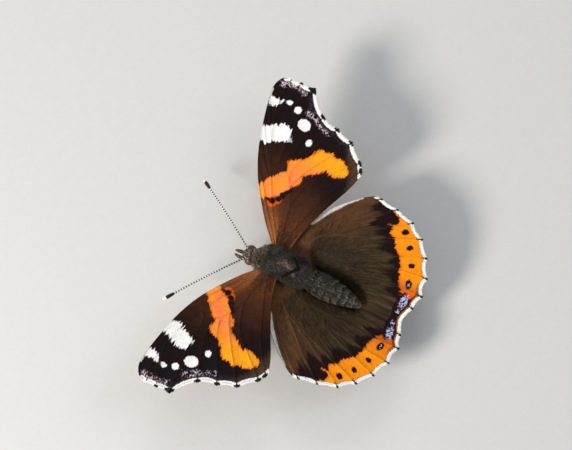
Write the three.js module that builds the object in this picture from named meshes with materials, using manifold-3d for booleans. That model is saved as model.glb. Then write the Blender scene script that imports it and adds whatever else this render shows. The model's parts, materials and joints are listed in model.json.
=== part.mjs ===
// Red admiral butterfly, Vanessa atalanta, at life size, standing with its wings spread.
// Millimetres, +Z up. It faces -Y, and its left side is +X. The trunk is laid out from the
// middle of the thorax, and the whole model is then set with its soles on z = 0.

import * as THREE from 'three';
import { mergeVertices } from 'three/addons/utils/BufferGeometryUtils.js';
import Module from 'manifold-3d';

const wasm = await Module();
wasm.setup();

// Driving dimensions
const GAP = 0.3;
const STAND_HEIGHT = 6.625;
const TRUNK_SIDES = 18;
const WING_THICKNESS = 0.5;
const WING_ROOT_THICKNESS = 0.85;
const WING_MARGIN_THICKNESS = 0.34;
const VEIN_HEIGHT = 0.17;
const VEIN_FOOT = 0.3;
const MEMBRANE_STEP = 3.4;
const LEG_SIDES = 8;
const ANTENNA_SHAFT = 0.25;
const ANTENNA_CLUB = 0.52;

// The trunk's profile, front to back: y, centre x, centre z, half width, rise, depth
const THORAX_PROFILE = [
  [-5.2, 0.7, -0.22, 1.15, 1.1, 1.1],
  [-4.7, 0.6, -0.12, 1.8, 1.65, 1.6],
  [-3.9, 0.43, -0.04, 2.35, 2.15, 2.0],
  [-2.4, 0.2, 0.0, 2.8, 2.5, 2.35],
  [-0.4, 0.04, 0.0, 2.95, 2.62, 2.5],
  [1.6, 0.0, 0.0, 2.85, 2.5, 2.5],
  [2.9, 0.1, 0.03, 2.55, 2.2, 2.25],
  [4.0, 0.25, 0.05, 2.05, 1.75, 1.85],
];
const ABDOMEN_PROFILE = [
  [4.3, 0.28, 0.05, 1.75, 1.6, 1.6],
  [5.6, 0.4, 0.05, 2.2, 1.98, 1.92],
  [7.6, 0.52, 0.0, 2.42, 2.18, 2.05],
  [9.6, 0.6, -0.05, 2.26, 2.02, 1.9],
  [11.6, 0.68, -0.15, 1.84, 1.66, 1.54],
  [13.3, 0.76, -0.26, 1.32, 1.2, 1.1],
  [14.7, 0.83, -0.36, 0.76, 0.7, 0.62],
  [15.3, 0.86, -0.4, 0.32, 0.3, 0.26],
];
const PROTHORAX = [-5.2, -4.45];
const MESOTHORAX = [-4.15, 1.75];
const METATHORAX = [2.05, 4.0];
const ABDOMEN = [4.3, 15.3];
const ABDOMEN_SEGMENTS = 8;
const SEGMENT_STEP = 0.07;

// The head, in its own frame: a capsule with an eye on each side, turned a little to its left
const HEAD_PLACE = new THREE.Vector3(0.75, -6.45, -0.2);
const HEAD_YAW = THREE.MathUtils.degToRad(14);
const HEAD_RADII = [1.05, 1.0, 1.15];
const NECK_RADIUS = 0.75;
const NECK_LENGTH = 2.2;
const EYE_RADII = [0.92, 0.98, 0.98];
const EYE_PLACE = [1.03, -0.08, 0.0];

// Fur, skin and scale colours
const FINISH = {
  fur: { color: 0x4a4438, roughness: 0.95, metalness: 0 },
  abdomen: { color: 0x4c4a3a, roughness: 0.85, metalness: 0 },
  wing: { color: 0x2a211c, roughness: 0.8, metalness: 0 },
  hindwing: { color: 0x3a2a20, roughness: 0.8, metalness: 0 },
  eye: { color: 0x6b3a1e, roughness: 0.35, metalness: 0 },
  horn: { color: 0x2b2119, roughness: 0.5, metalness: 0 },
  leg: { color: 0x7d6a52, roughness: 0.75, metalness: 0 },
};

// Closed surfaces

// A surface through rings of points, closed by a fan at each end.
function loft(rings) {
  const sides = rings[0].length;
  const positions = rings.flat().flatMap((p) => [p.x, p.y, p.z]);
  const index = [];
  for (let k = 0; k + 1 < rings.length; k += 1) {
    for (let i = 0; i < sides; i += 1) {
      const a = k * sides + i;
      const b = k * sides + ((i + 1) % sides);
      index.push(a, b, b + sides, a, b + sides, a + sides);
    }
  }
  const last = (rings.length - 1) * sides;
  for (let i = 1; i + 1 < sides; i += 1) {
    index.push(0, i + 1, i);
    index.push(last, last + i, last + i + 1);
  }
  return indexed(positions, index);
}

function indexed(positions, index) {
  const geometry = new THREE.BufferGeometry();
  geometry.setAttribute('position', new THREE.Float32BufferAttribute(positions, 3));
  geometry.setIndex(index);
  return geometry;
}

// A round bar along a smooth curve, with a radius for each of its points. Where `floor` is
// given, no point lies below it, which leaves a flat sole.
function bar(points, radii, { sides = LEG_SIDES, steps = 16, floor = null } = {}) {
  const curve = new THREE.CatmullRomCurve3(points, false, 'centripetal');
  const frames = curve.computeFrenetFrames(steps, false);
  const spans = points.length - 1;
  const rings = [];
  for (let k = 0; k <= steps; k += 1) {
    const u = k / steps;
    const centre = curve.getPointAt(u);
    const place = curve.getUtoTmapping(u) * spans;
    const i = Math.min(Math.floor(place), spans - 1);
    const radius = THREE.MathUtils.lerp(radii[i], radii[i + 1], place - i);
    rings.push(circle(centre, frames.normals[k], frames.binormals[k], radius, sides, floor));
  }
  return loft(rings);
}

function circle(centre, normal, binormal, radius, sides, floor) {
  const ring = [];
  for (let i = 0; i < sides; i += 1) {
    const angle = (2 * Math.PI * (i + 0.5)) / sides;
    const point = centre.clone();
    point.addScaledVector(normal, radius * Math.cos(angle));
    point.addScaledVector(binormal, radius * Math.sin(angle));
    if (floor !== null) point.z = Math.max(point.z, floor);
    ring.push(point);
  }
  return ring;
}

function ellipsoid(centre, radii, columns = 16, rows = 12) {
  const geometry = new THREE.SphereGeometry(1, columns, rows);
  geometry.scale(...radii);
  geometry.translate(...centre);
  return geometry;
}

function mirrored(geometry) {
  const copy = geometry.clone();
  copy.scale(-1, 1, 1);
  const index = copy.getIndex();
  for (let i = 0; i < index.count; i += 3) {
    const b = index.getX(i + 1);
    index.setX(i + 1, index.getX(i + 2));
    index.setX(i + 2, b);
  }
  return copy;
}

// Joining and cutting

function solid(geometry) {
  const bare = geometry.clone();
  bare.deleteAttribute('normal');
  bare.deleteAttribute('uv');
  const merged = mergeVertices(bare, 1e-4);
  const triVerts = Uint32Array.from(merged.getIndex().array);
  const vertProperties = Float32Array.from(merged.getAttribute('position').array);
  return new wasm.Manifold(new wasm.Mesh({ numProp: 3, vertProperties, triVerts }));
}

// The largest closed surface of a solid, as a geometry.
function shell(manifold) {
  const pieces = manifold.decompose();
  pieces.sort((a, b) => b.volume() - a.volume());
  const mesh = pieces[0].getMesh();
  return indexed(Array.from(mesh.vertProperties), Array.from(mesh.triVerts));
}

// Joins the first list of shapes and cuts the second list out of them.
function carve(shapes, cutters = []) {
  let result = solid(shapes[0]);
  for (const shape of shapes.slice(1)) result = result.add(solid(shape));
  for (const cutter of cutters) result = result.subtract(solid(cutter));
  return shell(result);
}

// Trunk

function profile(rows) {
  const places = rows.map((row) => row[0]);
  const values = rows.flatMap((row) => row.slice(1));
  const curve = new THREE.CubicInterpolant(places, values, 5);
  return (y) => {
    const [x, z, width, rise, depth] = curve.evaluate(y);
    return { x, z, width, rise, depth };
  };
}

const thoraxAt = profile(THORAX_PROFILE);
const abdomenAt = profile(ABDOMEN_PROFILE);

// One cross-section of the trunk, grown outwards by `grow`.
function section(at, y, grow = 0, scale = 1, place = y) {
  const { x, z, width, rise, depth } = at(y);
  const ring = [];
  for (let i = 0; i < TRUNK_SIDES; i += 1) {
    const angle = (-2 * Math.PI * i) / TRUNK_SIDES;
    const height = Math.sin(angle) > 0 ? rise : depth;
    const across = (width * scale + grow) * Math.cos(angle);
    const up = (height * scale + grow) * Math.sin(angle);
    ring.push(new THREE.Vector3(x + across, place, z + up));
  }
  return ring;
}

function trunkLength([from, to], steps) {
  const rings = [];
  for (let k = 0; k <= steps; k += 1) {
    rings.push(section(thoraxAt, THREE.MathUtils.lerp(from, to, k / steps)));
  }
  return loft(rings);
}

// The abdomen's rings narrow at the front of each segment and flare to its rear edge.
function abdomen() {
  const [from, to] = ABDOMEN;
  const rings = [];
  const length = (to - from) / ABDOMEN_SEGMENTS;
  for (let k = 0; k < ABDOMEN_SEGMENTS; k += 1) {
    const front = from + k * length;
    rings.push(section(abdomenAt, front, 0, 1 - SEGMENT_STEP));
    rings.push(section(abdomenAt, front + 0.45 * length, 0, 1));
    rings.push(section(abdomenAt, front + 0.88 * length, 0, 1));
  }
  rings.push(section(abdomenAt, to, 0, 1));
  return loft(rings);
}

// The trunk grown by the gap, to cut what grows from it.
function trunkClearance() {
  const rings = [section(thoraxAt, THORAX_PROFILE[0][0], GAP, 1, THORAX_PROFILE[0][0] - GAP)];
  for (const [y] of THORAX_PROFILE.slice(1)) rings.push(section(thoraxAt, y, GAP));
  for (const [y] of ABDOMEN_PROFILE.slice(1)) rings.push(section(abdomenAt, y, GAP));
  const end = ABDOMEN_PROFILE.at(-1)[0];
  rings.push(section(abdomenAt, end, GAP, 1, end + GAP));
  return loft(rings);
}

const trunkCutter = trunkClearance();

// Head

function headPoint(x, y, z) {
  const point = new THREE.Vector3(x, y, z);
  point.applyAxisAngle(new THREE.Vector3(0, 0, 1), HEAD_YAW);
  return point.add(HEAD_PLACE);
}

function onHead(geometry) {
  const placed = geometry.clone();
  placed.rotateZ(HEAD_YAW);
  placed.translate(...HEAD_PLACE.toArray());
  return placed;
}

const headCutter = onHead(ellipsoid([0, 0, 0], HEAD_RADII.map((r) => r + GAP)));

function head() {
  const capsule = onHead(ellipsoid([0, 0, 0], HEAD_RADII));
  const neckPoints = [HEAD_PLACE.clone(), HEAD_PLACE.clone().add(new THREE.Vector3(0, NECK_LENGTH, 0))];
  const neck = bar(neckPoints, [NECK_RADIUS, NECK_RADIUS], { sides: 14, steps: 1 });
  return carve([capsule, neck], [trunkCutter]);
}

function eye(side, antenna) {
  const [x, y, z] = EYE_PLACE;
  return carve([onHead(ellipsoid([side * x, y, z], EYE_RADII))], [headCutter, antenna]);
}

// A palp curves forward and up from under the face to a blunt point.
function palp(side) {
  const points = [
    headPoint(side * 0.45, -0.3, -0.6),
    headPoint(side * 0.52, -1.35, -0.85),
    headPoint(side * 0.5, -2.1, -0.5),
    headPoint(side * 0.41, -2.75, 0.05),
  ];
  return carve([bar(points, [0.3, 0.37, 0.32, 0.12], { sides: 8, steps: 8 })], [headCutter]);
}

// The proboscis is coiled like a watch spring under the face.
function proboscis() {
  const outer = 0.95;
  const pitch = 0.62;
  const turns = 1.2;
  const start = -1.2;
  const points = [headPoint(0, 0.15, -0.75)];
  for (let k = 0; k <= 14; k += 1) {
    const turn = (turns * k) / 14;
    const angle = start + 2 * Math.PI * turn;
    const radius = outer - pitch * turn;
    points.push(headPoint(0, -0.9 - radius * Math.sin(angle), -2.45 + radius * Math.cos(angle)));
  }
  const radii = points.map((_, k) => 0.19 - 0.004 * k);
  return carve([bar(points, radii, { sides: 6, steps: 30 })], [headCutter]);
}

// Antennae: a thin straight shaft from the crown and a club that ends in a blunt tip
const ANTENNA_ROOT = [0.5, -0.42, 0.75];
const ANTENNA_TIPS = {
  left: new THREE.Vector3(15.25, -17.15, 1.0),
  right: new THREE.Vector3(-9.0, -20.25, -2.0),
};
const ANTENNA_RISE = 0.9;

function antenna(side, grow = 0) {
  const tip = side > 0 ? ANTENNA_TIPS.left : ANTENNA_TIPS.right;
  const root = headPoint(side * ANTENNA_ROOT[0], ANTENNA_ROOT[1], ANTENNA_ROOT[2]);
  const along = (s) => {
    const point = root.clone().lerp(tip, s);
    point.z += ANTENNA_RISE * 4 * s * (1 - s);
    return point;
  };
  const shaft = ANTENNA_SHAFT + grow;
  const club = ANTENNA_CLUB + grow;
  const places = [0, 0.06, 0.3, 0.6, 0.82, 0.88, 0.93, 0.97, 1];
  const radii = [shaft, shaft, shaft, shaft, shaft, club * 0.8, club, club * 0.85, club * 0.4];
  return bar(places.map(along), radii, { sides: 8, steps: 30 });
}

// Wings

// A line on the wing from its root, t = 0, to its margin, t = 1. It follows `stem` as far as
// `leaves`, then its own smooth curve, and from `joins` on it follows `edge`.
function rail({ points, stem = null, leaves = 0, edge = null, joins = 1 }) {
  const path = points.map(([u, v]) => new THREE.Vector2(u, v));
  if (stem) path.unshift(stem(leaves));
  if (edge) path.push(edge(joins));
  const curve = new THREE.SplineCurve(path);
  return (t) => {
    if (stem && t <= leaves) return stem(t);
    if (edge && t >= joins) return edge(t);
    return curve.getPointAt(Math.min((t - leaves) / (joins - leaves), 1));
  };
}

// Each wing is drawn flat: u runs outwards from its hinge and v runs forward, in millimetres.
// Its rails are its veins in order from the leading edge, and `bay` is how deep the margin
// curves in between a vein and the next one.
function forewingRails() {
  const costa = rail({
    points: [
      [-1.2, 1.9], [0.3, 3.2], [3, 5.6], [6.5, 8.1], [10.2, 10.4], [14.9, 12.35],
      [20.7, 13.8], [25.6, 14.6], [27.8, 14.0], [28.8, 13.0],
    ],
  });
  const radius = rail({ points: [[-1.2, 1.5], [0.5, 2.3], [4.5, 4.7], [8.5, 6.9], [12.6, 9.0]], joins: 0.45 });
  const sector = rail({ points: [[16.5, 10.7], [21, 12.1]], stem: radius, leaves: 0.45, joins: 0.72 });
  const cubitus = rail({ points: [[-1.2, 0.9], [0.9, 1.7], [4.5, 2.3], [8.3, 3.1], [12.3, 5.3]], joins: 0.45 });
  return [
    { name: 'C', at: costa, bay: -0.12 },
    { name: 'Sc', at: rail({ points: [[-1.2, 1.75], [0.6, 2.9], [5, 6.1], [9.5, 9.2]], edge: costa, joins: 0.47 }) },
    { name: 'R1', at: rail({ points: [[13, 10.5]], stem: radius, leaves: 0.36, edge: costa, joins: 0.61 }) },
    { name: 'R2', at: rail({ points: [[16.6, 11.8]], stem: radius, leaves: 0.45, edge: costa, joins: 0.7 }) },
    { name: 'R3', at: rail({ points: [[21, 13.0]], stem: sector, leaves: 0.58, edge: costa, joins: 0.85 }) },
    { name: 'R4', at: rail({ points: [[25, 12.6], [29.0, 12.0]], stem: sector, leaves: 0.72 }), bay: 0.1 },
    { name: 'R5', at: rail({ points: [[25, 11.2], [29.0, 10.1]], stem: sector, leaves: 0.72 }), bay: 0.3 },
    {
      name: 'M1',
      at: rail({ points: [[13.3, 7.95], [17, 8.0], [23, 8.1], [29.1, 7.5]], stem: radius, leaves: 0.45 }),
      bay: 0.56,
    },
    {
      name: 'M2',
      at: rail({ points: [[12.9, 6.25], [15.2, 6.4], [20, 5.5], [25.0, 3.9]], stem: cubitus, leaves: 0.45 }),
      bay: 0.42,
    },
    { name: 'M3', at: rail({ points: [[16.3, 4.2], [24.0, 0.6]], stem: cubitus, leaves: 0.45 }), bay: 0.32 },
    { name: 'CuA1', at: rail({ points: [[15.4, 1.9], [22.8, -2.8]], stem: cubitus, leaves: 0.39 }), bay: 0.3 },
    {
      name: 'CuA2',
      at: rail({ points: [[10, 2.2], [13.6, 0.6], [20.0, -5.8]], stem: cubitus, leaves: 0.27 }),
      bay: 0.08,
    },
    { name: '2A', at: rail({ points: [[-1.2, 0.3], [0.8, 1.0], [5.1, -0.1], [9.4, -1.6], [13.6, -3.3], [18.7, -6.5]] }) },
    {
      name: 'inner',
      at: rail({ points: [[-1.2, -0.5], [0.6, -0.6], [4.9, -1.6], [10, -3.6], [14.7, -5.7], [17.8, -6.65]] }),
      plain: true,
    },
  ];
}

function hindwingRails() {
  const costa = rail({
    points: [
      [-1.2, 1.7], [1.2, 2.6], [3.6, 3.0], [5.7, 2.75], [7.6, 2.0], [10.9, -0.1],
      [13.8, -3.0], [15.5, -5.2], [16.25, -6.7],
    ],
  });
  const radius = rail({ points: [[-1.2, 1.1], [0.7, 1.45], [2.6, 1.75]], joins: 0.18 });
  const sector = rail({ points: [[4.8, 0.2], [8, -3], [12, -6.9], [15.7, -11.1]], stem: radius, leaves: 0.18 });
  const media = rail({ points: [[8.2, -5.2], [11.3, -9.9], [14.6, -14.7]], stem: sector, leaves: 0.33 });
  const cubitus = rail({ points: [[-1.2, 0.5], [0.6, -0.8], [2.6, -3.6], [4.3, -6.6]], joins: 0.4 });
  return [
    { name: 'C', at: costa, bay: 0 },
    {
      name: 'Sc',
      at: rail({ points: [[6.6, 0.8], [11.2, -2.4], [14.4, -5.4], [16.25, -7.7]], stem: radius, leaves: 0.18 }),
      bay: 0.25,
    },
    { name: 'Rs', at: sector, bay: 0.22 },
    { name: 'M1', at: media, bay: 0.35 },
    { name: 'M2', at: rail({ points: [[9.2, -9.2], [12.5, -17.4]], stem: media, leaves: 0.42 }), bay: 0.25 },
    { name: 'M3', at: rail({ points: [[6.6, -11.4], [9.7, -19.6]], stem: cubitus, leaves: 0.4 }), bay: 0.42 },
    { name: 'CuA1', at: rail({ points: [[5.2, -11.2], [6.3, -21.2]], stem: cubitus, leaves: 0.4 }), bay: 0.55 },
    { name: 'CuA2', at: rail({ points: [[2.5, -7.5], [2.9, -14.5], [2.9, -21.7]], stem: cubitus, leaves: 0.22 }), bay: 0.3 },
    { name: '2A', at: rail({ points: [[-1.2, -0.1], [0.3, -1.6], [0.6, -8], [0.5, -15], [0.3, -20.95]] }), bay: 0.1 },
    {
      name: 'inner',
      at: rail({
        points: [[-1.2, -0.6], [-0.5, -2.2], [-1.0, -4.6], [-2.0, -7.6], [-2.25, -10], [-2.25, -15], [-2.25, -20.0]],
      }),
      plain: true,
    },
  ];
}

const FOREWING_ROWS = [0, 0.08, 0.18, 0.28, 0.37, 0.45, 0.53, 0.61, 0.69, 0.77, 0.85, 0.92, 0.965, 1];
const HINDWING_ROWS = [0, 0.08, 0.18, 0.26, 0.34, 0.42, 0.51, 0.6, 0.7, 0.8, 0.89, 0.955, 1];

// The points of one row across the wing. A vein has a crest with a foot on each side of it.
function wingRow(rails, t) {
  const points = [];
  const anchors = [];
  const ridge = VEIN_HEIGHT * (1 - 0.45 * t);
  rails.forEach(({ at, plain }, i) => {
    const here = at(t);
    const before = i > 0 ? points[anchors[i - 1]] : null;
    if (before && before.uv.distanceTo(here) < 1e-6) {
      anchors.push(anchors[i - 1]);
      return;
    }
    if (before) {
      const span = before.uv.distanceTo(here);
      for (const s of membranePlaces(span)) {
        const inset = t === 1 ? (rails[i - 1].bay ?? 0) * 4 * s * (1 - s) : 0;
        const uv = before.uv.clone().lerp(here, s);
        uv.addScaledVector(uv.clone().sub(at(0.8)).normalize(), -inset);
        points.push({ uv, lift: 0 });
      }
    }
    anchors.push(points.length);
    points.push({ uv: here, lift: plain ? 0 : ridge });
  });
  return { points, anchors, t };
}

// Where the feet of two veins and the membrane's own points lie between their crests.
function membranePlaces(span) {
  const foot = VEIN_FOOT / span;
  if (foot > 0.7) return [];
  if (foot > 0.3) return [0.5];
  const places = [foot];
  const count = Math.floor(span / MEMBRANE_STEP) + 1;
  for (let k = 1; k <= count; k += 1) places.push(THREE.MathUtils.lerp(foot, 1 - foot, k / (count + 1)));
  places.push(1 - foot);
  return places;
}

// Triangles between two rows of points, stitched from one vein to the next.
function stitch(upper, lower, upperStart, lowerStart) {
  const triangles = [];
  for (let i = 0; i + 1 < upper.anchors.length; i += 1) {
    let a = upper.anchors[i];
    let b = lower.anchors[i];
    const aEnd = upper.anchors[i + 1];
    const bEnd = lower.anchors[i + 1];
    const aCount = aEnd - a;
    const bCount = bEnd - b;
    while (a < aEnd || b < bEnd) {
      const aNext = a < aEnd ? 1 - (aEnd - a - 1) / aCount : 2;
      const bNext = b < bEnd ? 1 - (bEnd - b - 1) / bCount : 2;
      if (aNext <= bNext) {
        triangles.push([upperStart + a, upperStart + a + 1, lowerStart + b]);
        a += 1;
      } else {
        triangles.push([upperStart + a, lowerStart + b + 1, lowerStart + b]);
        b += 1;
      }
    }
  }
  return triangles;
}

function wingThickness(t) {
  if (t >= 1) return WING_MARGIN_THICKNESS;
  const toRoot = Math.max(0, 1 - t / 0.28);
  return THREE.MathUtils.lerp(WING_THICKNESS, WING_ROOT_THICKNESS, toRoot);
}

// The plate between an upper and a lower face that have the same triangles.
function wingPlate(rails, rowPlaces, surface) {
  const rows = rowPlaces.map((t) => wingRow(rails, t));
  const upper = [];
  const lower = [];
  const starts = [];
  for (const row of rows) {
    starts.push(upper.length);
    for (const { uv, lift } of row.points) {
      const { point, normal } = facing(surface, uv);
      const half = wingThickness(row.t) / 2 + lift;
      upper.push(point.clone().addScaledVector(normal, half));
      lower.push(point.clone().addScaledVector(normal, -half));
    }
  }
  const count = upper.length;
  const index = [];
  for (let k = 0; k + 1 < rows.length; k += 1) {
    for (const [a, b, c] of stitch(rows[k], rows[k + 1], starts[k], starts[k + 1])) {
      index.push(a, b, c, a + count, c + count, b + count);
    }
  }
  for (const [a, b] of rim(rows, starts)) index.push(b, a, a + count, b, a + count, b + count);
  const positions = upper.concat(lower).flatMap((p) => [p.x, p.y, p.z]);
  return orientedOut(indexed(positions, index));
}

// The edges round the plate, in the order in which the upper face's triangles run.
function rim(rows, starts) {
  const loop = [];
  const last = rows.length - 1;
  for (let i = 0; i < rows[0].points.length; i += 1) loop.push(starts[0] + i);
  for (let k = 1; k < rows.length; k += 1) loop.push(starts[k] + rows[k].points.length - 1);
  for (let i = rows[last].points.length - 2; i >= 0; i -= 1) loop.push(starts[last] + i);
  for (let k = last - 1; k > 0; k -= 1) loop.push(starts[k]);
  return loop.map((a, i) => [a, loop[(i + 1) % loop.length]]);
}

function facing(surface, uv) {
  const step = 0.02;
  const point = surface(uv.x, uv.y);
  const along = surface(uv.x + step, uv.y).sub(surface(uv.x - step, uv.y));
  const ahead = surface(uv.x, uv.y + step).sub(surface(uv.x, uv.y - step));
  const normal = ahead.cross(along).normalize();
  return { point, normal: normal.z < 0 ? normal.negate() : normal };
}

function orientedOut(geometry) {
  const position = geometry.getAttribute('position');
  const index = geometry.getIndex();
  const corner = (i) => new THREE.Vector3().fromBufferAttribute(position, index.getX(i));
  let volume = 0;
  for (let i = 0; i < index.count; i += 3) volume += corner(i).dot(corner(i + 1).cross(corner(i + 2)));
  if (volume > 0) return geometry;
  return mirrored(geometry.clone().scale(-1, 1, 1));
}

// How each wing lies: its hinge on the left side, how it rises outwards and its slight crown
const FOREWING_HINGE = new THREE.Vector3(2.6, -1.0, 0.95);
const FOREWING_RISE = THREE.MathUtils.degToRad(9.6);
const FOREWING_CROWN = 0.35;
const HINDWING_HINGE = new THREE.Vector3(2.4, 3.2, -0.35);
const HINDWING_RISE = THREE.MathUtils.degToRad(8.6);
const GUTTER_EDGE = 4.6;
const GUTTER_DEPTH = 2.3;

function smooth(x, from, to) {
  return THREE.MathUtils.smoothstep(x, from, to);
}

function forewingSurface(u, v) {
  const chord = THREE.MathUtils.clamp(u / 28, 0, 1);
  const crown = FOREWING_CROWN * Math.sin(Math.PI * chord) - 0.02 * Math.max(0, 3 - v);
  const x = FOREWING_HINGE.x + u * Math.cos(FOREWING_RISE);
  const z = FOREWING_HINGE.z + u * Math.sin(FOREWING_RISE) + crown;
  return new THREE.Vector3(x, FOREWING_HINGE.y - v, z);
}

// The hindwing's inner field bends down into a gutter under the abdomen.
function hindwingSurface(u, v) {
  const x = HINDWING_HINGE.x + u * Math.cos(HINDWING_RISE);
  const y = HINDWING_HINGE.y - v;
  const inward = 1 - smooth(x, 0, GUTTER_EDGE);
  const beside = smooth(y, 2.2, 6.5) * (1 - smooth(y, 11, 18));
  const z = HINDWING_HINGE.z + u * Math.sin(HINDWING_RISE) - GUTTER_DEPTH * inward * beside;
  return new THREE.Vector3(x, y, z);
}

const leftForewing = wingPlate(forewingRails(), FOREWING_ROWS, forewingSurface);
const leftHindwing = wingPlate(hindwingRails(), HINDWING_ROWS, hindwingSurface);

// Legs, each a bar from the trunk's underside to the tips of its toes: x, y, z and radius.
// The fore pair is short and held up under the breast, and the other two pairs stand.
const SOLE = -STAND_HEIGHT;
const TARSUS_HEIGHT = SOLE + 0.2;
const LEG_PATHS = {
  foreleg: [
    [0.8, -4.3, -1.0, 0.3], [1.0, -4.8, -2.3, 0.3], [1.15, -5.6, -3.0, 0.28],
    [1.1, -6.4, -2.7, 0.25], [1.0, -7.0, -2.3, 0.2],
  ],
  midleg: [
    [1.2, -1.6, -1.6, 0.42], [1.5, -1.9, -2.9, 0.42], [3.2, -3.1, -3.3, 0.38], [5.2, -4.5, -2.9, 0.33],
    [6.4, -5.4, -4.4, 0.28], [7.6, -6.3, -6.1, 0.27], [8.6, -7.2, TARSUS_HEIGHT, 0.26],
    [9.9, -8.3, TARSUS_HEIGHT, 0.25],
  ],
  hindleg: [
    [1.1, 2.9, -1.3, 0.42], [1.35, 3.0, -2.8, 0.42], [2.9, 4.2, -3.7, 0.38], [4.7, 5.8, -3.9, 0.33],
    [5.6, 7.5, -5.0, 0.28], [6.5, 9.3, -6.15, 0.27], [7.2, 10.6, TARSUS_HEIGHT, 0.26],
    [8.0, 12.2, TARSUS_HEIGHT, 0.25],
  ],
};

function leg(name, side) {
  const path = LEG_PATHS[name];
  const points = path.map(([x, y, z]) => new THREE.Vector3(side * x, y, z));
  const radii = path.map((row) => row[3]);
  return carve([bar(points, radii, { steps: 20, floor: SOLE })], [trunkCutter]);
}

// The model

const model = new THREE.Group();

function addNode(name, geometry, finish) {
  const mesh = new THREE.Mesh(geometry, new THREE.MeshStandardMaterial(FINISH[finish]));
  mesh.name = name;
  model.add(mesh);
}

addNode('head', head(), 'fur');
addNode('prothorax', trunkLength(PROTHORAX, 2), 'fur');
addNode('mesothorax', trunkLength(MESOTHORAX, 7), 'fur');
addNode('metathorax', trunkLength(METATHORAX, 3), 'fur');
addNode('abdomen', abdomen(), 'abdomen');
addNode('proboscis', proboscis(), 'horn');
for (const [suffix, side] of [['left', 1], ['right', -1]]) {
  const onSide = (geometry) => (side > 0 ? geometry : mirrored(geometry));
  addNode(`forewing_${suffix}`, carve([onSide(leftForewing)], [trunkCutter]), 'wing');
  addNode(`hindwing_${suffix}`, carve([onSide(leftHindwing)], [trunkCutter]), 'hindwing');
  addNode(`antenna_${suffix}`, carve([antenna(side)], [headCutter]), 'horn');
  addNode(`eye_${suffix}`, eye(side, antenna(side, GAP)), 'eye');
  addNode(`palp_${suffix}`, palp(side), 'fur');
  for (const name of Object.keys(LEG_PATHS)) addNode(`${name}_${suffix}`, leg(name, side), 'leg');
}

const middle = new THREE.Box3().setFromObject(model).getCenter(new THREE.Vector3());
model.position.set(-middle.x, -middle.y, STAND_HEIGHT);

export default model;
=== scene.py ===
"""The looks of a life-size red admiral butterfly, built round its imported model.

Sizes are millimetres in the model's own trunk frame: the origin is the middle of the thorax, the
head points along -Y, +X is the butterfly's left and +Z is up. They become metres in the row frame
when a mesh is made.
"""

import json
import logging
import math
from collections.abc import Callable, Mapping, Sequence
from dataclasses import dataclass, field
from enum import Enum

import bmesh
import bpy
import numpy as np
from mathutils import Matrix, Vector

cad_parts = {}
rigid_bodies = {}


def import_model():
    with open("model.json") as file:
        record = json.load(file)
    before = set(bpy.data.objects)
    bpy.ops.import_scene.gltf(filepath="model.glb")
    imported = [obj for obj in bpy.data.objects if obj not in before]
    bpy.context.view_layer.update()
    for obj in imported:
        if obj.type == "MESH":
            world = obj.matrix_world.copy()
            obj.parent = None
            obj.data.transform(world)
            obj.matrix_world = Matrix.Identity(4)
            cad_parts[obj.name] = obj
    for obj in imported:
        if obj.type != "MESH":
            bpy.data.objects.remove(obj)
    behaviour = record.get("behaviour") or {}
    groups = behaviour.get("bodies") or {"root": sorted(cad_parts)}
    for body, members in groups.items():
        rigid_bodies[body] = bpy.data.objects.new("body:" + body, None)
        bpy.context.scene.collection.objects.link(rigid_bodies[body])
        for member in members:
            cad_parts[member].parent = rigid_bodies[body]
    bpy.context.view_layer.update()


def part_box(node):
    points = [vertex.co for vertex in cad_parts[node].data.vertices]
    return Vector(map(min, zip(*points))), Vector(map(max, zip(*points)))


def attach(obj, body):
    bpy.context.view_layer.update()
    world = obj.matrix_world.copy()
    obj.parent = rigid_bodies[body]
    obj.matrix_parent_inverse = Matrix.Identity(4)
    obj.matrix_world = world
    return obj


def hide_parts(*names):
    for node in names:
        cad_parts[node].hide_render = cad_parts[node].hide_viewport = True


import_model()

LOG = logging.getLogger("red_admiral")

MM = 0.001
BODY = "root"
STAND_HEIGHT = 6.625
MESOTHORAX_FRONT = -4.15
SEED = 1807

Rgb = tuple[float, float, float]
Point2 = tuple[float, float]
Point3 = tuple[float, float, float]
Array = np.ndarray
Random = np.random.Generator
Mesh = bpy.types.Mesh
Material = bpy.types.Material
Piece = bpy.types.Object
Socket = bpy.types.NodeSocket
Value = float | Rgb | Vector | Socket


class Side(Enum):
    """The butterfly's own left (+X) and right (-X)."""

    LEFT = 1
    RIGHT = -1

    @property
    def word(self) -> str:
        """The side's name, as the nodes end with it."""
        return self.name.lower()


def trunk_origin() -> Array:
    """The middle of the thorax in the row frame, in millimetres."""
    low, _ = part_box("mesothorax")
    return np.array([0.0, low.y / MM - MESOTHORAX_FRONT, STAND_HEIGHT])


ORIGIN = trunk_origin()


def to_row(points: Array) -> Array:
    """Trunk-frame millimetres as row-frame metres."""
    return (np.asarray(points, float) + ORIGIN) * MM


# Lines, areas and directions


def walked_lengths(line: Array) -> Array:
    """How far along a line of points each of them lies."""
    return np.concatenate([[0.0], np.cumsum(np.linalg.norm(np.diff(line, axis=0), axis=1))])


def along_line(line: Array, places: Array, walked: Array) -> Array:
    """Points between a line's own points, where walked passes each of places."""
    return np.stack([np.interp(places, walked, column) for column in line.T], axis=1)


def unit(rows: Array) -> Array:
    """Directions of length 1."""
    return rows / np.linalg.norm(rows, axis=1)[:, None]


def unit_square(places: Array) -> Array:
    """Flat places scaled together to fit just inside the unit square, for an unwrap."""
    return (places - places.min(axis=0)) / np.ptp(places, axis=0).max() * 0.9 + 0.02


def square_to(rows: Array, out: Array) -> Array:
    """Directions of length 1 with what points along out taken away."""
    return unit(rows - out * np.sum(rows * out, axis=1)[:, None])


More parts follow.
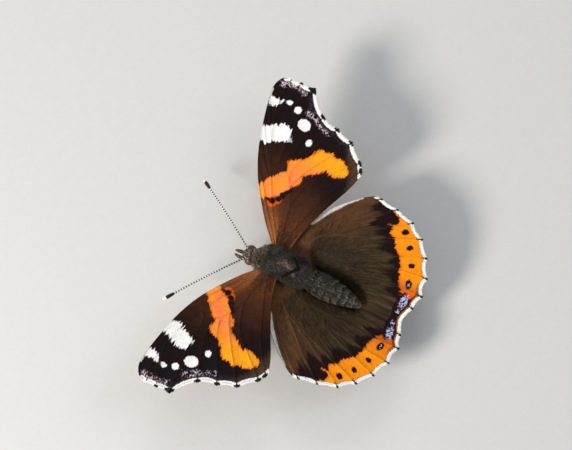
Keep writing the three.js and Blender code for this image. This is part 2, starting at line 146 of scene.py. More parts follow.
def smooth_path(points: Sequence[Point2], count: int, closed: bool = False) -> Array:
    """Evenly spaced points along a smooth curve.

    Args:
        points: What the curve passes through, in order.
        count: How many points to return.
        closed: Whether the curve comes back to its first point.

    Returns:
        An array of count rows.
    """
    knots = np.asarray(points, float)
    if closed:
        knots = np.vstack([knots[-1:], knots, knots[:2]])
    else:
        knots = np.vstack([knots[:1], knots, knots[-1:]])
    pieces = []
    share = np.linspace(0.0, 1.0, 24, endpoint=False)[:, None]
    for before, start, end, after in zip(knots, knots[1:], knots[2:], knots[3:]):
        pull = (end - before) / 2.0
        push = (after - start) / 2.0
        pieces.append(
            start * (2 * share**3 - 3 * share**2 + 1)
            + end * (3 * share**2 - 2 * share**3)
            + pull * (share**3 - 2 * share**2 + share)
            + push * (share**3 - share**2)
        )
    dense = np.vstack([*pieces, knots[-2][None, :]])
    walked = walked_lengths(dense)
    wanted = np.linspace(0.0, walked[-1], count, endpoint=not closed)
    return along_line(dense, wanted, walked)


def line_distance(where: Array, line: Array) -> Array:
    """Distance from each point of where to an open line of points."""
    best = np.full(len(where), np.inf)
    for start, end in zip(line, line[1:]):
        edge = end - start
        length = float(edge @ edge)
        if length < 1e-12:
            continue
        share = np.clip((where - start) @ edge / length, 0.0, 1.0)
        best = np.minimum(best, np.linalg.norm(where - start - share[:, None] * edge, axis=1))
    return best


def area_distance(where: Array, outline: Array) -> Array:
    """Signed distance from each point to a closed outline: negative inside it."""
    inside = np.zeros(len(where), bool)
    x, y = where[:, 0], where[:, 1]
    for (ax, ay), (bx, by) in zip(outline, np.roll(outline, -1, axis=0)):
        if ay == by:
            continue
        crosses = ((ay > y) != (by > y)) & (x < (bx - ax) * (y - ay) / (by - ay) + ax)
        inside ^= crosses
    best = line_distance(where, np.vstack([outline, outline[:1]]))
    return np.where(inside, -best, best)


def blot_distance(where: Array, blots: Sequence["Blot"]) -> Array:
    """Signed distance to the nearest of several oval marks, negative inside one."""
    best = np.full(len(where), 50.0)
    for blot in blots:
        best = np.minimum(best, blot.distance(where))
    return best


def step(value: Array, low: float, high: float) -> Array:
    """A smooth rise from 0 at low to 1 at high."""
    share = np.clip((value - low) / (high - low), 0.0, 1.0)
    return share * share * (3.0 - 2.0 * share)


@dataclass(frozen=True)
class Blot:
    """An oval mark on a wing, in wing millimetres and degrees."""

    out: float
    forward: float
    width: float
    height: float
    turn: float = 0.0

    def distance(self, where: Array) -> Array:
        """Signed distance from each point to the oval's edge, about."""
        angle = math.radians(self.turn)
        dx = where[:, 0] - self.out
        dy = where[:, 1] - self.forward
        along = dx * math.cos(angle) + dy * math.sin(angle)
        across = dy * math.cos(angle) - dx * math.sin(angle)
        reach = np.hypot(along / (self.width / 2), across / (self.height / 2))
        return (reach - 1.0) * min(self.width, self.height) / 2


# Shader maths


class Shade:
    """A number on its way through a material, which takes part in Python expressions."""

    def __init__(self, graph: "Graph", socket: Socket) -> None:
        """Wraps one output socket of a graph's node."""
        self.graph = graph
        self.socket = socket

    def _maths(self, operation: str, *values: "Shade | float") -> "Shade":
        """A Math node on these values."""
        inputs = {i: value for i, value in enumerate(values)}
        node = self.graph.node("ShaderNodeMath", {"operation": operation}, inputs)
        return Shade(self.graph, node.outputs[0])

    def __add__(self, other: "Shade | float") -> "Shade":
        """Sum."""
        return self._maths("ADD", self, other)

    __radd__ = __add__

    def __sub__(self, other: "Shade | float") -> "Shade":
        """Difference."""
        return self._maths("SUBTRACT", self, other)

    def __rsub__(self, other: float) -> "Shade":
        """Difference from a number."""
        return self._maths("SUBTRACT", other, self)

    def __mul__(self, other: "Shade | float") -> "Shade":
        """Product."""
        return self._maths("MULTIPLY", self, other)

    __rmul__ = __mul__

    def __truediv__(self, other: "Shade | float") -> "Shade":
        """Quotient."""
        return self._maths("DIVIDE", self, other)

    def largest(self, other: "Shade | float") -> "Shade":
        """The larger of the two."""
        return self._maths("MAXIMUM", self, other)

    def remainder(self) -> "Shade":
        """What is left over the whole number below."""
        return self._maths("FRACT", self)

    def rise(self, low: float, high: float) -> "Shade":
        """0 below low, 1 above high and smooth between them, also where high is below low."""
        flip = high < low
        first, last = (high, low) if flip else (low, high)
        node = self.graph.node(
            "ShaderNodeMapRange",
            {"interpolation_type": "SMOOTHSTEP"},
            {0: self, 1: first, 2: last, 3: 1.0 if flip else 0.0, 4: 0.0 if flip else 1.0},
        )
        return Shade(self.graph, node.outputs[0])


class Graph:
    """A material's node tree."""

    def __init__(self, name: str) -> None:
        """Starts an empty material of that name."""
        self.material = bpy.data.materials.new(name)
        self.material.use_nodes = True
        self.tree = self.material.node_tree
        self.tree.nodes.clear()
        self.output = self.tree.nodes.new("ShaderNodeOutputMaterial")
        self.shader = self.tree.nodes.new("ShaderNodeBsdfPrincipled")
        self.tree.links.new(self.shader.outputs[0], self.output.inputs[0])

    def plug(self, socket: Socket, value: "Shade | Value") -> None:
        """Links a value to a socket, or sets it there."""
        if isinstance(value, Shade):
            value = value.socket
        if isinstance(value, Socket):
            self.tree.links.new(value, socket)
        elif isinstance(value, (tuple, Vector)) and socket.type == "RGBA":
            socket.default_value = (*value[:3], 1.0)
        else:
            socket.default_value = value

    def node(
        self,
        kind: str,
        settings: Mapping[str, object] | None = None,
        inputs: Mapping[int | str, "Shade | Value"] | None = None,
    ) -> bpy.types.Node:
        """Any node.

        Args:
            kind: The node's type.
            settings: What is set on it first, such as its operation.
            inputs: Socket name or number to value or link.

        Returns:
            The node.
        """
        node = self.tree.nodes.new(kind)
        for key, value in (settings or {}).items():
            setattr(node, key, value)
        for key, value in (inputs or {}).items():
            self.plug(node.inputs[key], value)
        return node

    def attribute(self, name: str) -> Shade:
        """A number stored on the mesh."""
        return Shade(self, self.node("ShaderNodeAttribute", {"attribute_name": name}).outputs["Fac"])

    def plane(self, name: str, scale: Sequence[float], shift: Sequence[float]) -> Socket:
        """A UV map's coordinates, scaled and shifted."""
        uv = self.node("ShaderNodeUVMap", {"uv_map": name})
        inputs = {"Vector": uv.outputs[0], "Scale": Vector(scale), "Location": Vector(shift)}
        return self.node("ShaderNodeMapping", None, inputs).outputs[0]

    def objects(self, scale: float | Sequence[float]) -> Socket:
        """Object coordinates in repeats for each millimetre."""
        sizes = (scale,) * 3 if isinstance(scale, (int, float)) else scale
        place = self.node("ShaderNodeTexCoord").outputs["Object"]
        inputs = {"Vector": place, "Scale": Vector(sizes) / MM}
        return self.node("ShaderNodeMapping", None, inputs).outputs[0]

    def axis(self, index: int) -> Shade:
        """One object coordinate, in millimetres of the row frame."""
        place = self.node("ShaderNodeTexCoord").outputs["Object"]
        split = self.node("ShaderNodeSeparateXYZ", None, {0: place})
        return Shade(self, split.outputs[index]) / MM

    def noise(self, vector: Socket, scale: float = 1.0, detail: float = 3.0) -> Shade:
        """Soft noise about 0.5."""
        inputs = {"Vector": vector, "Scale": scale, "Detail": detail, "Roughness": 0.6}
        return Shade(self, self.node("ShaderNodeTexNoise", None, inputs).outputs[0])

    def cells(self, vector: Socket) -> Shade:
        """How far each place is from the centre of its cell, where cells are of size 1."""
        node = self.node("ShaderNodeTexVoronoi", None, {"Vector": vector, "Scale": 1.0})
        return Shade(self, node.outputs["Distance"])

    def tones(self, vector: Socket) -> Shade:
        """A random number for each of the same cells."""
        node = self.node("ShaderNodeTexVoronoi", None, {"Vector": vector, "Scale": 1.0})
        split = self.node("ShaderNodeSeparateColor", None, {0: node.outputs["Color"]})
        return Shade(self, split.outputs[0])

    def mix(self, share: "Shade | float", low: Value, high: Value) -> Socket:
        """Two colours mixed by a share."""
        node = self.node("ShaderNodeMix", {"data_type": "RGBA"}, {0: share, 6: low, 7: high})
        return node.outputs[2]

    def dim(self, colour: Value, share: Shade) -> Socket:
        """A colour multiplied by a number."""
        grey = self.node("ShaderNodeCombineColor", None, {0: share, 1: share, 2: share}).outputs[0]
        settings = {"data_type": "RGBA", "blend_type": "MULTIPLY"}
        return self.node("ShaderNodeMix", settings, {0: 1.0, 6: colour, 7: grey}).outputs[2]

    def bump(self, height: Shade, strength: float, distance: float) -> Socket:
        """A bumped normal; distance in millimetres."""
        inputs = {"Height": height, "Strength": strength, "Distance": distance * MM}
        return self.node("ShaderNodeBump", None, inputs).outputs[0]

    def finish(self, inputs: Mapping[str, "Shade | Value"]) -> Material:
        """Sets the shader's sockets and returns the material."""
        for key, value in inputs.items():
            self.plug(self.shader.inputs[key], value)
        return self.material


# Pieces


def as_object(name: str, mesh: Mesh) -> Piece:
    """A linked object that holds a mesh."""
    piece = bpy.data.objects.new(name, mesh)
    bpy.context.scene.collection.objects.link(piece)
    return piece


def as_mesh(name: str, bm: bmesh.types.BMesh) -> Mesh:
    """The finished mesh of a bmesh, which is freed."""
    mesh = bpy.data.meshes.new(name)
    bm.to_mesh(mesh)
    bm.free()
    return mesh


def shade_smooth(mesh: Mesh) -> None:
    """Smooth shading on every face."""
    mesh.polygons.foreach_set("use_smooth", np.ones(len(mesh.polygons), bool))
    mesh.update()


def add_numbers(mesh: Mesh, values: Mapping[str, Array]) -> None:
    """Stores numbers on a mesh's points."""
    for name, numbers in values.items():
        layer = mesh.attributes.new(name, "FLOAT", "POINT")
        layer.data.foreach_set("value", np.asarray(numbers, np.float32))


def add_uv(mesh: Mesh, name: str, places: Array) -> None:
    """Stores a UV map from one place for each point."""
    corners = np.empty(len(mesh.loops), np.int32)
    mesh.loops.foreach_get("vertex_index", corners)
    layer = mesh.uv_layers.new(name=name)
    layer.data.foreach_set("uv", np.asarray(places, np.float32)[corners].ravel())


def settle(piece: Piece, slot: str, replaced: Sequence[str] = ()) -> Piece:
    """Attaches a finished piece to the body, hides the nodes that it stands for and logs it.

    Args:
        piece: The object, in place.
        slot: The record's material slot; not used.
        replaced: The nodes that it stands for.

    Returns:
        The same object.
    """
    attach(piece, BODY)
    if replaced:
        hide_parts(*replaced)
    LOG.info("%s: %d points, %s", piece.name, len(piece.data.vertices), ", ".join(replaced) or "new")
    return piece


def add_piece(
    name: str,
    mesh: Mesh,
    material: Material,
    slot: str,
    replaced: Sequence[str] = (),
) -> Piece:
    mesh.materials.append(material)
    return settle(as_object(name, mesh), slot, replaced)


def ring_tube(bm: bmesh.types.BMesh, rings: Sequence[Array]) -> None:
    """Adds a closed tube through rings of row-frame points.

    Args:
        bm: What the tube is added to.
        rings: Rings of equally many points, in order.
    """
    loops: list[list[bmesh.types.BMEdge]] = []
    ends: list[list[bmesh.types.BMVert]] = []
    for ring in rings:
        made = bmesh.ops.create_circle(bm, segments=len(ring), radius=1.0)["verts"]
        for vert, place in zip(made, ring):
            vert.co = Vector(place)
        edges = {edge for vert in made for edge in vert.link_edges}
        loops.append(list(edges))
        ends.append(list(made))
    for first, second in zip(loops, loops[1:]):
        bmesh.ops.bridge_loops(bm, edges=first + second)
    bmesh.ops.contextual_create(bm, geom=ends[0])
    bmesh.ops.contextual_create(bm, geom=ends[-1])


def bar_rings(path: Array, radii: Array, sides: int) -> list[Array]:
    """Rings of row-frame points square to a path.

    Args:
        path: Trunk-frame points along the middle.
        radii: The radius at each.
        sides: Points in a ring.

    Returns:
        One array for each path point.
    """
    ahead = unit(np.gradient(path, axis=0))
    side = np.cross(ahead[0], [0.0, 0.0, 1.0])
    if np.linalg.norm(side) < 0.1:
        side = np.cross(ahead[0], [0.0, 1.0, 0.0])
    rings = []
    angles = np.linspace(0, 2 * math.pi, sides, endpoint=False)
    for centre, direction, radius in zip(path, ahead, radii):
        side = side - direction * float(side @ direction)
        side /= np.linalg.norm(side)
        other = np.cross(direction, side)
        circle = np.cos(angles)[:, None] * side + np.sin(angles)[:, None] * other
        rings.append(to_row(centre + radius * circle))
    return rings


def bar_mesh(name: str, path: Array, radii: Array, sides: int) -> Mesh:
    """A round bar with closed ends; its points store how far along it they lie, in mm."""
    bm = bmesh.new()
    ring_tube(bm, bar_rings(path, radii, sides))
    bmesh.ops.recalc_face_normals(bm, faces=bm.faces)
    mesh = as_mesh(name, bm)
    add_numbers(mesh, {"along": np.repeat(walked_lengths(path), sides)})
    shade_smooth(mesh)
    return mesh


# Coats: fur, scales and fringes as joined thin tufts


@dataclass
class Coat:
    """Many thin solid tufts as one mesh.

    Each tuft is a three-sided blade in three lengths that leaves its root and bends over.
    """

    name: str
    roots: Array
    leans: Array
    lifts: Array
    lengths: Array
    widths: Array
    tints: Array
    unwraps: Array
    rise: float = 0.35
    flatness: float = 0.4
    patch: float = 0.003

    def mesh(self) -> Mesh:
        """The tufts as one mesh, in the row frame, with tints and the unwrap."""
        count = len(self.roots)
        across = unit(np.cross(self.leans, self.lifts))
        corners = []
        stations = ((0.0, -0.25, 0.8), (0.45, self.rise, 1.0), (0.8, self.rise * 1.05, 0.6))
        for share, height, width in stations:
            middle = self.roots + self.leans * (self.lengths * share)[:, None]
            middle = middle + self.lifts * (self.lengths * height * min(share + 0.3, 1.0))[:, None]
            reach = self.widths[:, None] * width * 0.5
            corners.append(middle + across * reach)
            corners.append(middle - across * reach)
            corners.append(middle + self.lifts * reach * self.flatness * 2)
        tip = self.roots + self.leans * self.lengths[:, None]
        corners.append(tip + self.lifts * (self.lengths * self.rise * 0.75)[:, None])
        points = np.stack(corners, axis=1)
        per = points.shape[1]
        one = [(0, 2, 1)]
        for ring in range(len(stations) - 1):
            a = ring * 3
            for k in range(3):
                n = (k + 1) % 3
                one.append((a + k, a + n, a + n + 3))
                one.append((a + k, a + n + 3, a + k + 3))
        top = (len(stations) - 1) * 3
        one.extend((top + k, top + (k + 1) % 3, top + 3) for k in range(3))
        faces = (np.arange(count)[:, None, None] * per + np.array(one)[None]).reshape(-1, 3)
        mesh = bpy.data.meshes.new(self.name)
        mesh.vertices.add(count * per)
        mesh.vertices.foreach_set("co", to_row(points.reshape(-1, 3)).astype(np.float32).ravel())
        mesh.loops.add(faces.size)
        mesh.loops.foreach_set("vertex_index", faces.astype(np.int32).ravel())
        mesh.polygons.add(len(faces))
        mesh.polygons.foreach_set("loop_start", np.arange(0, faces.size, 3, dtype=np.int32))
        mesh.update(calc_edges=True)
        levels = [station[0] for station in stations] + [1.0]
        tall = np.tile(np.repeat(levels, [3, 3, 3, 1]), count)
        add_numbers(mesh, {"tint": np.repeat(self.tints, per), "tall": tall})
        spread = np.array([[(i % 3) / 2, i / per] for i in range(per)]) * self.patch
        unwrap = np.repeat(self.unwraps, per, axis=0) + np.tile(spread, (count, 1))
        add_uv(mesh, "OFBake", unwrap)
        return mesh


def bar_coat(
    name: str,
    path: Array,
    radii: Array,
    count: int,
    length: Point2,
    width: float,
    rise: float,
    rng: Random,
) -> Coat:
    """Tufts that point along a bar and stand a little out from it.

    Args:
        name: The piece's name.
        path: Trunk-frame points along the bar's middle.
        radii: Its radius at each.
        count: How many tufts.
        length: Shortest and longest.
        width: Their usual width.
        rise: How far they stand out, as a share of their length.
        rng: The random draw.

    Returns:
        The coat.
    """
    pick = rng.integers(0, len(path) - 1, count)
    ahead = path[pick + 1] - path[pick]
    root = path[pick] + ahead * rng.random((count, 1))
    ahead = unit(ahead)
    out = square_to(rng.normal(0, 1, (count, 3)), ahead)
    root = root + out * (radii[pick] * 0.92)[:, None]
    tint = rng.beta(1.2, 1.4, count)
    turn = np.arctan2(out[:, 2], out[:, 0])
    unwrap = np.stack([pick / len(path) * 0.9 + 0.02, turn / 7 + 0.5], axis=1)
    lengths = rng.uniform(*length, count)
    return Coat(name, root, ahead, out, lengths, np.full(count, width), tint, unwrap, rise=rise)


@dataclass(frozen=True)
class FurFinish:
    """Fur or scale tufts in a few tints, from 0 to 1."""

    name: str
    tints: Sequence[tuple[float, Rgb]]
    roughness: float = 0.6
    sheen: float = 0.05
    root_shade: float = 0.45
    specular: float = 0.14

    def material(self) -> Material:
        """The material: a ramp of tints, darker at the roots and a little varied."""
        graph = Graph(self.name)
        ramp = graph.node("ShaderNodeValToRGB", None, {0: graph.attribute("tint")})
        elements = ramp.color_ramp.elements
        while len(elements) < len(self.tints):
            elements.new(0.5)
        for element, (place, colour) in zip(elements, self.tints):
            element.position = place
            element.color = (*colour, 1.0)
        shade = graph.attribute("tall") * (1 - self.root_shade) + self.root_shade
        varied = shade * (graph.noise(graph.objects(3.0)) * 0.5 + 0.75)
        rough = graph.noise(graph.objects(9.0)) * 0.2 + (self.roughness - 0.1)
        return graph.finish(
            {
                "Base Color": graph.dim(ramp.outputs[0], varied),
                "Roughness": rough,
                "Specular IOR Level": self.specular,
                "Sheen Weight": self.sheen,
                "Sheen Roughness": 0.4,
            }
        )


# Wings

Rail = Callable[[float], Array]


def rail(
    points: Sequence[Point2],
    stem: Rail | None = None,
    leaves: float = 0.0,
    edge: Rail | None = None,
    joins: float = 1.0,
) -> Rail:
    """A vein's line from the wing's root, 0, to its margin, 1.

    Args:
        points: Its own curve, as (outward, forward) millimetres.
        stem: The vein that it follows first.
        leaves: Where it leaves the stem.
        edge: The vein that it follows last.
        joins: Where it joins the edge.

    Returns:
        A function from a share to a point.
    """
    knots = [tuple(p) for p in points]
    if stem:
        knots.insert(0, tuple(stem(leaves)))
    if edge:
        knots.append(tuple(edge(joins)))
    dense = smooth_path(knots, 80)
    places = np.linspace(0.0, 1.0, len(dense))

    def at(share: float) -> Array:
        """The point at one share of the way."""
        if stem and share <= leaves:
            return stem(share)
        if edge and share >= joins:
            return edge(share)
        own = (share - leaves) / (joins - leaves)
        return np.array([np.interp(own, places, column) for column in dense.T])

    return at


def rail_points(line: Rail, count: int, reach: float = 1.0) -> Array:
    """Points at even shares of a rail, as far as reach."""
    return np.array([line(share * reach) for share in np.linspace(0, 1, count)])


@dataclass(frozen=True)
class Vein:
    """One vein: its line, where it starts to be its own and the bay of the margin behind it."""

    name: str
    at: Rail
    starts: float = 0.0
    ends: float = 1.0
    bay: float = 0.0
    at_margin: bool = True
    tick: float = 0.62

    def line(self) -> Array:
        """Points along the vein's own part."""
        return np.array([self.at(share) for share in np.linspace(self.starts, self.ends, 40)])


@dataclass
class Wing:
    """A wing as a thin sheet over a grid between its four edges."""

    side: Side
    hinge: Point3 = (0.0, 0.0, 0.0)
    rise: float = 0.0
    across: int = 150
    along: int = 180
    thickness: float = 0.16
    vein_height: float = 0.11
    vein_width: float = 0.2
    dish_depth: float = 0.09
    dish_width: float = 0.9
    fringe: float = 0.42
    fringe_spacing: float = 0.02
    veins: list[Vein] = field(default_factory=list)
    plain_edge: Rail | None = None
    kind: str = "wing"
    slot: str = "forewing_scales"

    def lie(self, where: Array) -> Array:
        """Flat wing places as trunk-frame points on the left side."""
        raise NotImplementedError

    def markings(self, where: Array) -> dict[str, Array]:
        """The numbers that the finish reads, for each place on the wing."""
        raise NotImplementedError

    @property
    def name(self) -> str:
        """The node's name."""
        return f"{self.kind}_{self.side.word}"

    def margin(self, inset: float) -> Array:
        """The outer margin from the leading edge to the inner one, moved in by inset."""
        ends = [vein for vein in self.veins if vein.at_margin]
        stops = [vein.at(1.0) for vein in ends] + [self.plain_edge(1.0)]
        inner = [vein.at(0.8) for vein in ends] + [self.plain_edge(0.8)]
        line = []
        for vein, start, stop, a, b in zip(ends, stops, stops[1:], inner, inner[1:]):
            for share in np.linspace(0.0, 1.0, 12, endpoint=False):
                place = start + (stop - start) * share
                inward = a + (b - a) * share - place
                inward /= np.linalg.norm(inward)
                line.append(place + inward * (vein.bay * 4 * share * (1 - share) + inset))
        last = inner[-1] - stops[-1]
        line.append(stops[-1] + last / np.linalg.norm(last) * inset)
        return np.array(line)

    def edges(self) -> tuple[Array, Array, Array, Array]:
        """The root, margin, leading and inner edges, each as even points."""
        margin = self.margin(self.fringe)
        reach = 1.0 - self.fringe / 20.0
        leading = rail_points(self.veins[0].at, 200, reach)
        inner = rail_points(self.plain_edge, 200, reach)
        leading[-1] = margin[0]
        inner[-1] = margin[-1]
        return np.array([leading[0], inner[0]]), margin, leading, inner

    def spread(self, across: Array, outward: Array) -> Array:
        """Grid shares as flat wing places, by blending the four edges."""
        root, margin, leading, inner = self.edges()

        def pick(line: Array, share: Array) -> Array:
            """Points at shares of a line's length."""
            walked = walked_lengths(line)
            return along_line(line, share, walked / walked[-1])

        s = across[:, None]
        t = outward[:, None]
        sides = (1 - s) * pick(leading, outward) + s * pick(inner, outward)
        ends = (1 - t) * pick(root, across) + t * pick(margin, across)
        corners = (1 - s) * (1 - t) * leading[0] + s * (1 - t) * inner[0]
        corners = corners + (1 - s) * t * leading[-1] + s * t * inner[-1]
        return sides + ends - corners

    def vein_distance(self, where: Array) -> Array:
        """Distance to the nearest vein."""
        best = np.full(len(where), np.inf)
        for vein in self.veins:
            best = np.minimum(best, line_distance(where, vein.line()))
        return best

    def stand(self, where: Array) -> Array:
        """How far long hair stands off the wing."""
        return np.zeros(len(where))

    def tick_distance(self, where: Array) -> Array:
        """How far each place is from the black ticks at the veins' ends, negative inside one."""
        ends = [vein for vein in self.veins if vein.at_margin and vein.tick]
        reach = [np.linalg.norm(where - vein.at(1.0), axis=1) - vein.tick for vein in ends]
        return np.min(reach, axis=0)

    def outline(self) -> Array:
        """The closed outline of the sheet."""
        _, margin, leading, inner = self.edges()
        return np.vstack([leading, margin, inner[::-1]])

    def relief(self, vein: Array) -> Array:
        """How far the surface stands out at these distances from a vein, dished between veins."""
        ridge = self.vein_height * np.exp(-((vein / self.vein_width) ** 2))
        return ridge - self.dish_depth * (1 - np.exp(-((vein / self.dish_width) ** 2)))

    def place(self, where: Array, lift: Array | float = 0.0) -> Array:
        """Flat wing places on this side's wing, in the trunk frame."""
        points = self.lie(where)
        points[:, 2] += lift
        points[:, 0] *= self.side.value
        return points

    def build(self, upper: Material, under: Material) -> Piece:
        """The wing's sheet, dressed on both faces."""
        bm = bmesh.new()
        bmesh.ops.create_grid(bm, x_segments=self.across, y_segments=self.along, size=1.0)
        mesh = as_mesh(self.name + "_sheet", bm)
        flat = np.empty(len(mesh.vertices) * 3, np.float32)
        mesh.vertices.foreach_get("co", flat)
        shares = (flat.reshape(-1, 3)[:, :2].astype(float) + 1.0) / 2.0
        where = self.spread(shares[:, 0], shares[:, 1])
        vein = self.vein_distance(where)
        points = self.place(where, self.relief(vein))
        mesh.vertices.foreach_set("co", to_row(points).astype(np.float32).ravel())
        mesh.update()
        edge = line_distance(where, self.margin(self.fringe))
        numbers = {"vein": vein, "edge": edge, "ends": self.tick_distance(where), "outward": shares[:, 1]}
        add_numbers(mesh, numbers | self.markings(where))
        add_uv(mesh, "plane", where)
        add_uv(mesh, "grain", shares)
        self.face_up(mesh)
        shade_smooth(mesh)
        piece = as_object(self.name + "_sheet", mesh)
        mesh.materials.append(upper)
        mesh.materials.append(under)
        solid = piece.modifiers.new("thickness", "SOLIDIFY")
        solid.thickness = self.thickness * MM
        solid.offset = 0.0
        solid.material_offset = 1
        solid.material_offset_rim = 0
        return settle(piece, self.slot, [self.name])

    def face_up(self, mesh: Mesh) -> None:
        """Turns the sheet's faces so that they look up."""
        normals = np.empty(len(mesh.polygons) * 3, np.float32)
        mesh.polygons.foreach_get("normal", normals)
        if normals.reshape(-1, 3)[:, 2].mean() < 0:
            mesh.flip_normals()

    def fringe_coat(self, rng: Random) -> Coat:
        """The fringe of long scales along the margin: white in the bays, black at the vein ends."""
        line = self.margin(self.fringe + 0.12)
        outer = self.margin(0.0)
        walked = walked_lengths(line)
        count = int(walked[-1] / self.fringe_spacing)
        share = np.sort(rng.random(count)) * walked[-1]
        root = along_line(line, share, walked)
        goal = along_line(outer, share, walked)
        reach = goal - root
        reach += rng.normal(0, 0.06, reach.shape)
        length = np.linalg.norm(reach, axis=1) * rng.uniform(0.8, 1.04, count)
        tint = step(self.tick_distance(goal), -0.08, 0.12) + rng.normal(0, 0.05, count)
        base = self.place(root, rng.uniform(-0.05, 0.05, count))
        lean = unit(self.place(root + reach) - base)
        lift = np.tile([0.0, 0.0, 1.0], (count, 1))
        width = rng.uniform(0.1, 0.16, count)
        tint = np.clip(tint, 0, 1)
        name = self.name + "_fringe"
        return Coat(name, base, lean, lift, length, width, tint, unit_square(root), rise=0.02)

    def hair_coat(self, rng: Random) -> Coat:
        """Long soft hair that lies outwards over the wing's base."""
        raise NotImplementedError


# Forewing markings in wing millimetres: outwards from the hinge, then forwards
FOREWING_SPOTS = (
    Blot(24.6, 10.65, 0.95, 1.15, 10),
    Blot(23.95, 8.65, 1.3, 1.35),
    Blot(21.9, 6.5, 2.15, 2.5, -20),
    Blot(19.25, 4.4, 1.3, 1.15),
)
COSTAL_BAR = (
    (16.65, 13.2), (18.65, 13.5), (19.25, 12.1), (19.8, 11.2), (20.5, 10.1), (20.3, 8.9),
    (20.1, 8.3), (19.05, 8.0), (18.15, 7.5), (17.9, 8.2), (17.2, 9.4), (17.0, 10.4),
    (16.3, 10.7), (16.05, 11.65),
)
APEX_PATCH = ((22.85, 14.0), (24.35, 14.3), (24.3, 12.8), (24.65, 11.75), (23.9, 12.0), (23.1, 12.7))
ORANGE_BAND = (
    (8.0, 9.5), (8.9, 9.35), (9.6, 8.8), (10.4, 8.4), (11.3, 7.5), (12.3, 6.7), (12.95, 5.95),
    (13.7, 6.2), (14.7, 6.35), (15.6, 5.05), (16.1, 4.0), (17.2, 3.1), (18.6, 2.4), (19.1, 1.8),
    (19.0, 0.8), (19.4, -0.3), (18.8, -1.3), (19.0, -2.2), (18.5, -3.25), (17.8, -4.1),
    (17.0, -4.45), (16.2, -4.0), (15.75, -3.0), (15.4, -2.0), (15.35, -1.4), (15.85, -0.6),
    (15.2, 0.1), (14.3, 1.3), (13.7, 2.3), (13.1, 2.85), (12.2, 2.65), (11.2, 3.15),
    (10.65, 4.05), (9.8, 4.1), (9.2, 4.75), (8.35, 5.35), (7.6, 6.2), (7.2, 6.8), (7.05, 7.4),
    (6.4, 8.0),
)
BASAL_BLACKS = (
    Blot(6.95, 6.0, 1.15, 1.15),
    Blot(6.95, 6.75, 0.55, 1.2),
    Blot(7.65, 5.2, 0.95, 1.3, 25),
    Blot(8.65, 4.7, 1.05, 1.2),
    Blot(9.5, 4.15, 1.8, 0.75, -42),
)
BASAL_REDS = (Blot(6.6, 6.1, 1.5, 1.75), Blot(7.35, 5.3, 1.3, 1.7, 25))
APEX_SPECKLES = (
    ((27.3, 13.2), (27.9, 11.6), (27.75, 9.9), (27.3, 8.8)),
    ((24.4, 6.8), (23.7, 5.1), (22.9, 3.5), (22.2, 2.0)),
)
CREAM_EDGE = ((22.6, 14.5), (25.6, 14.7))


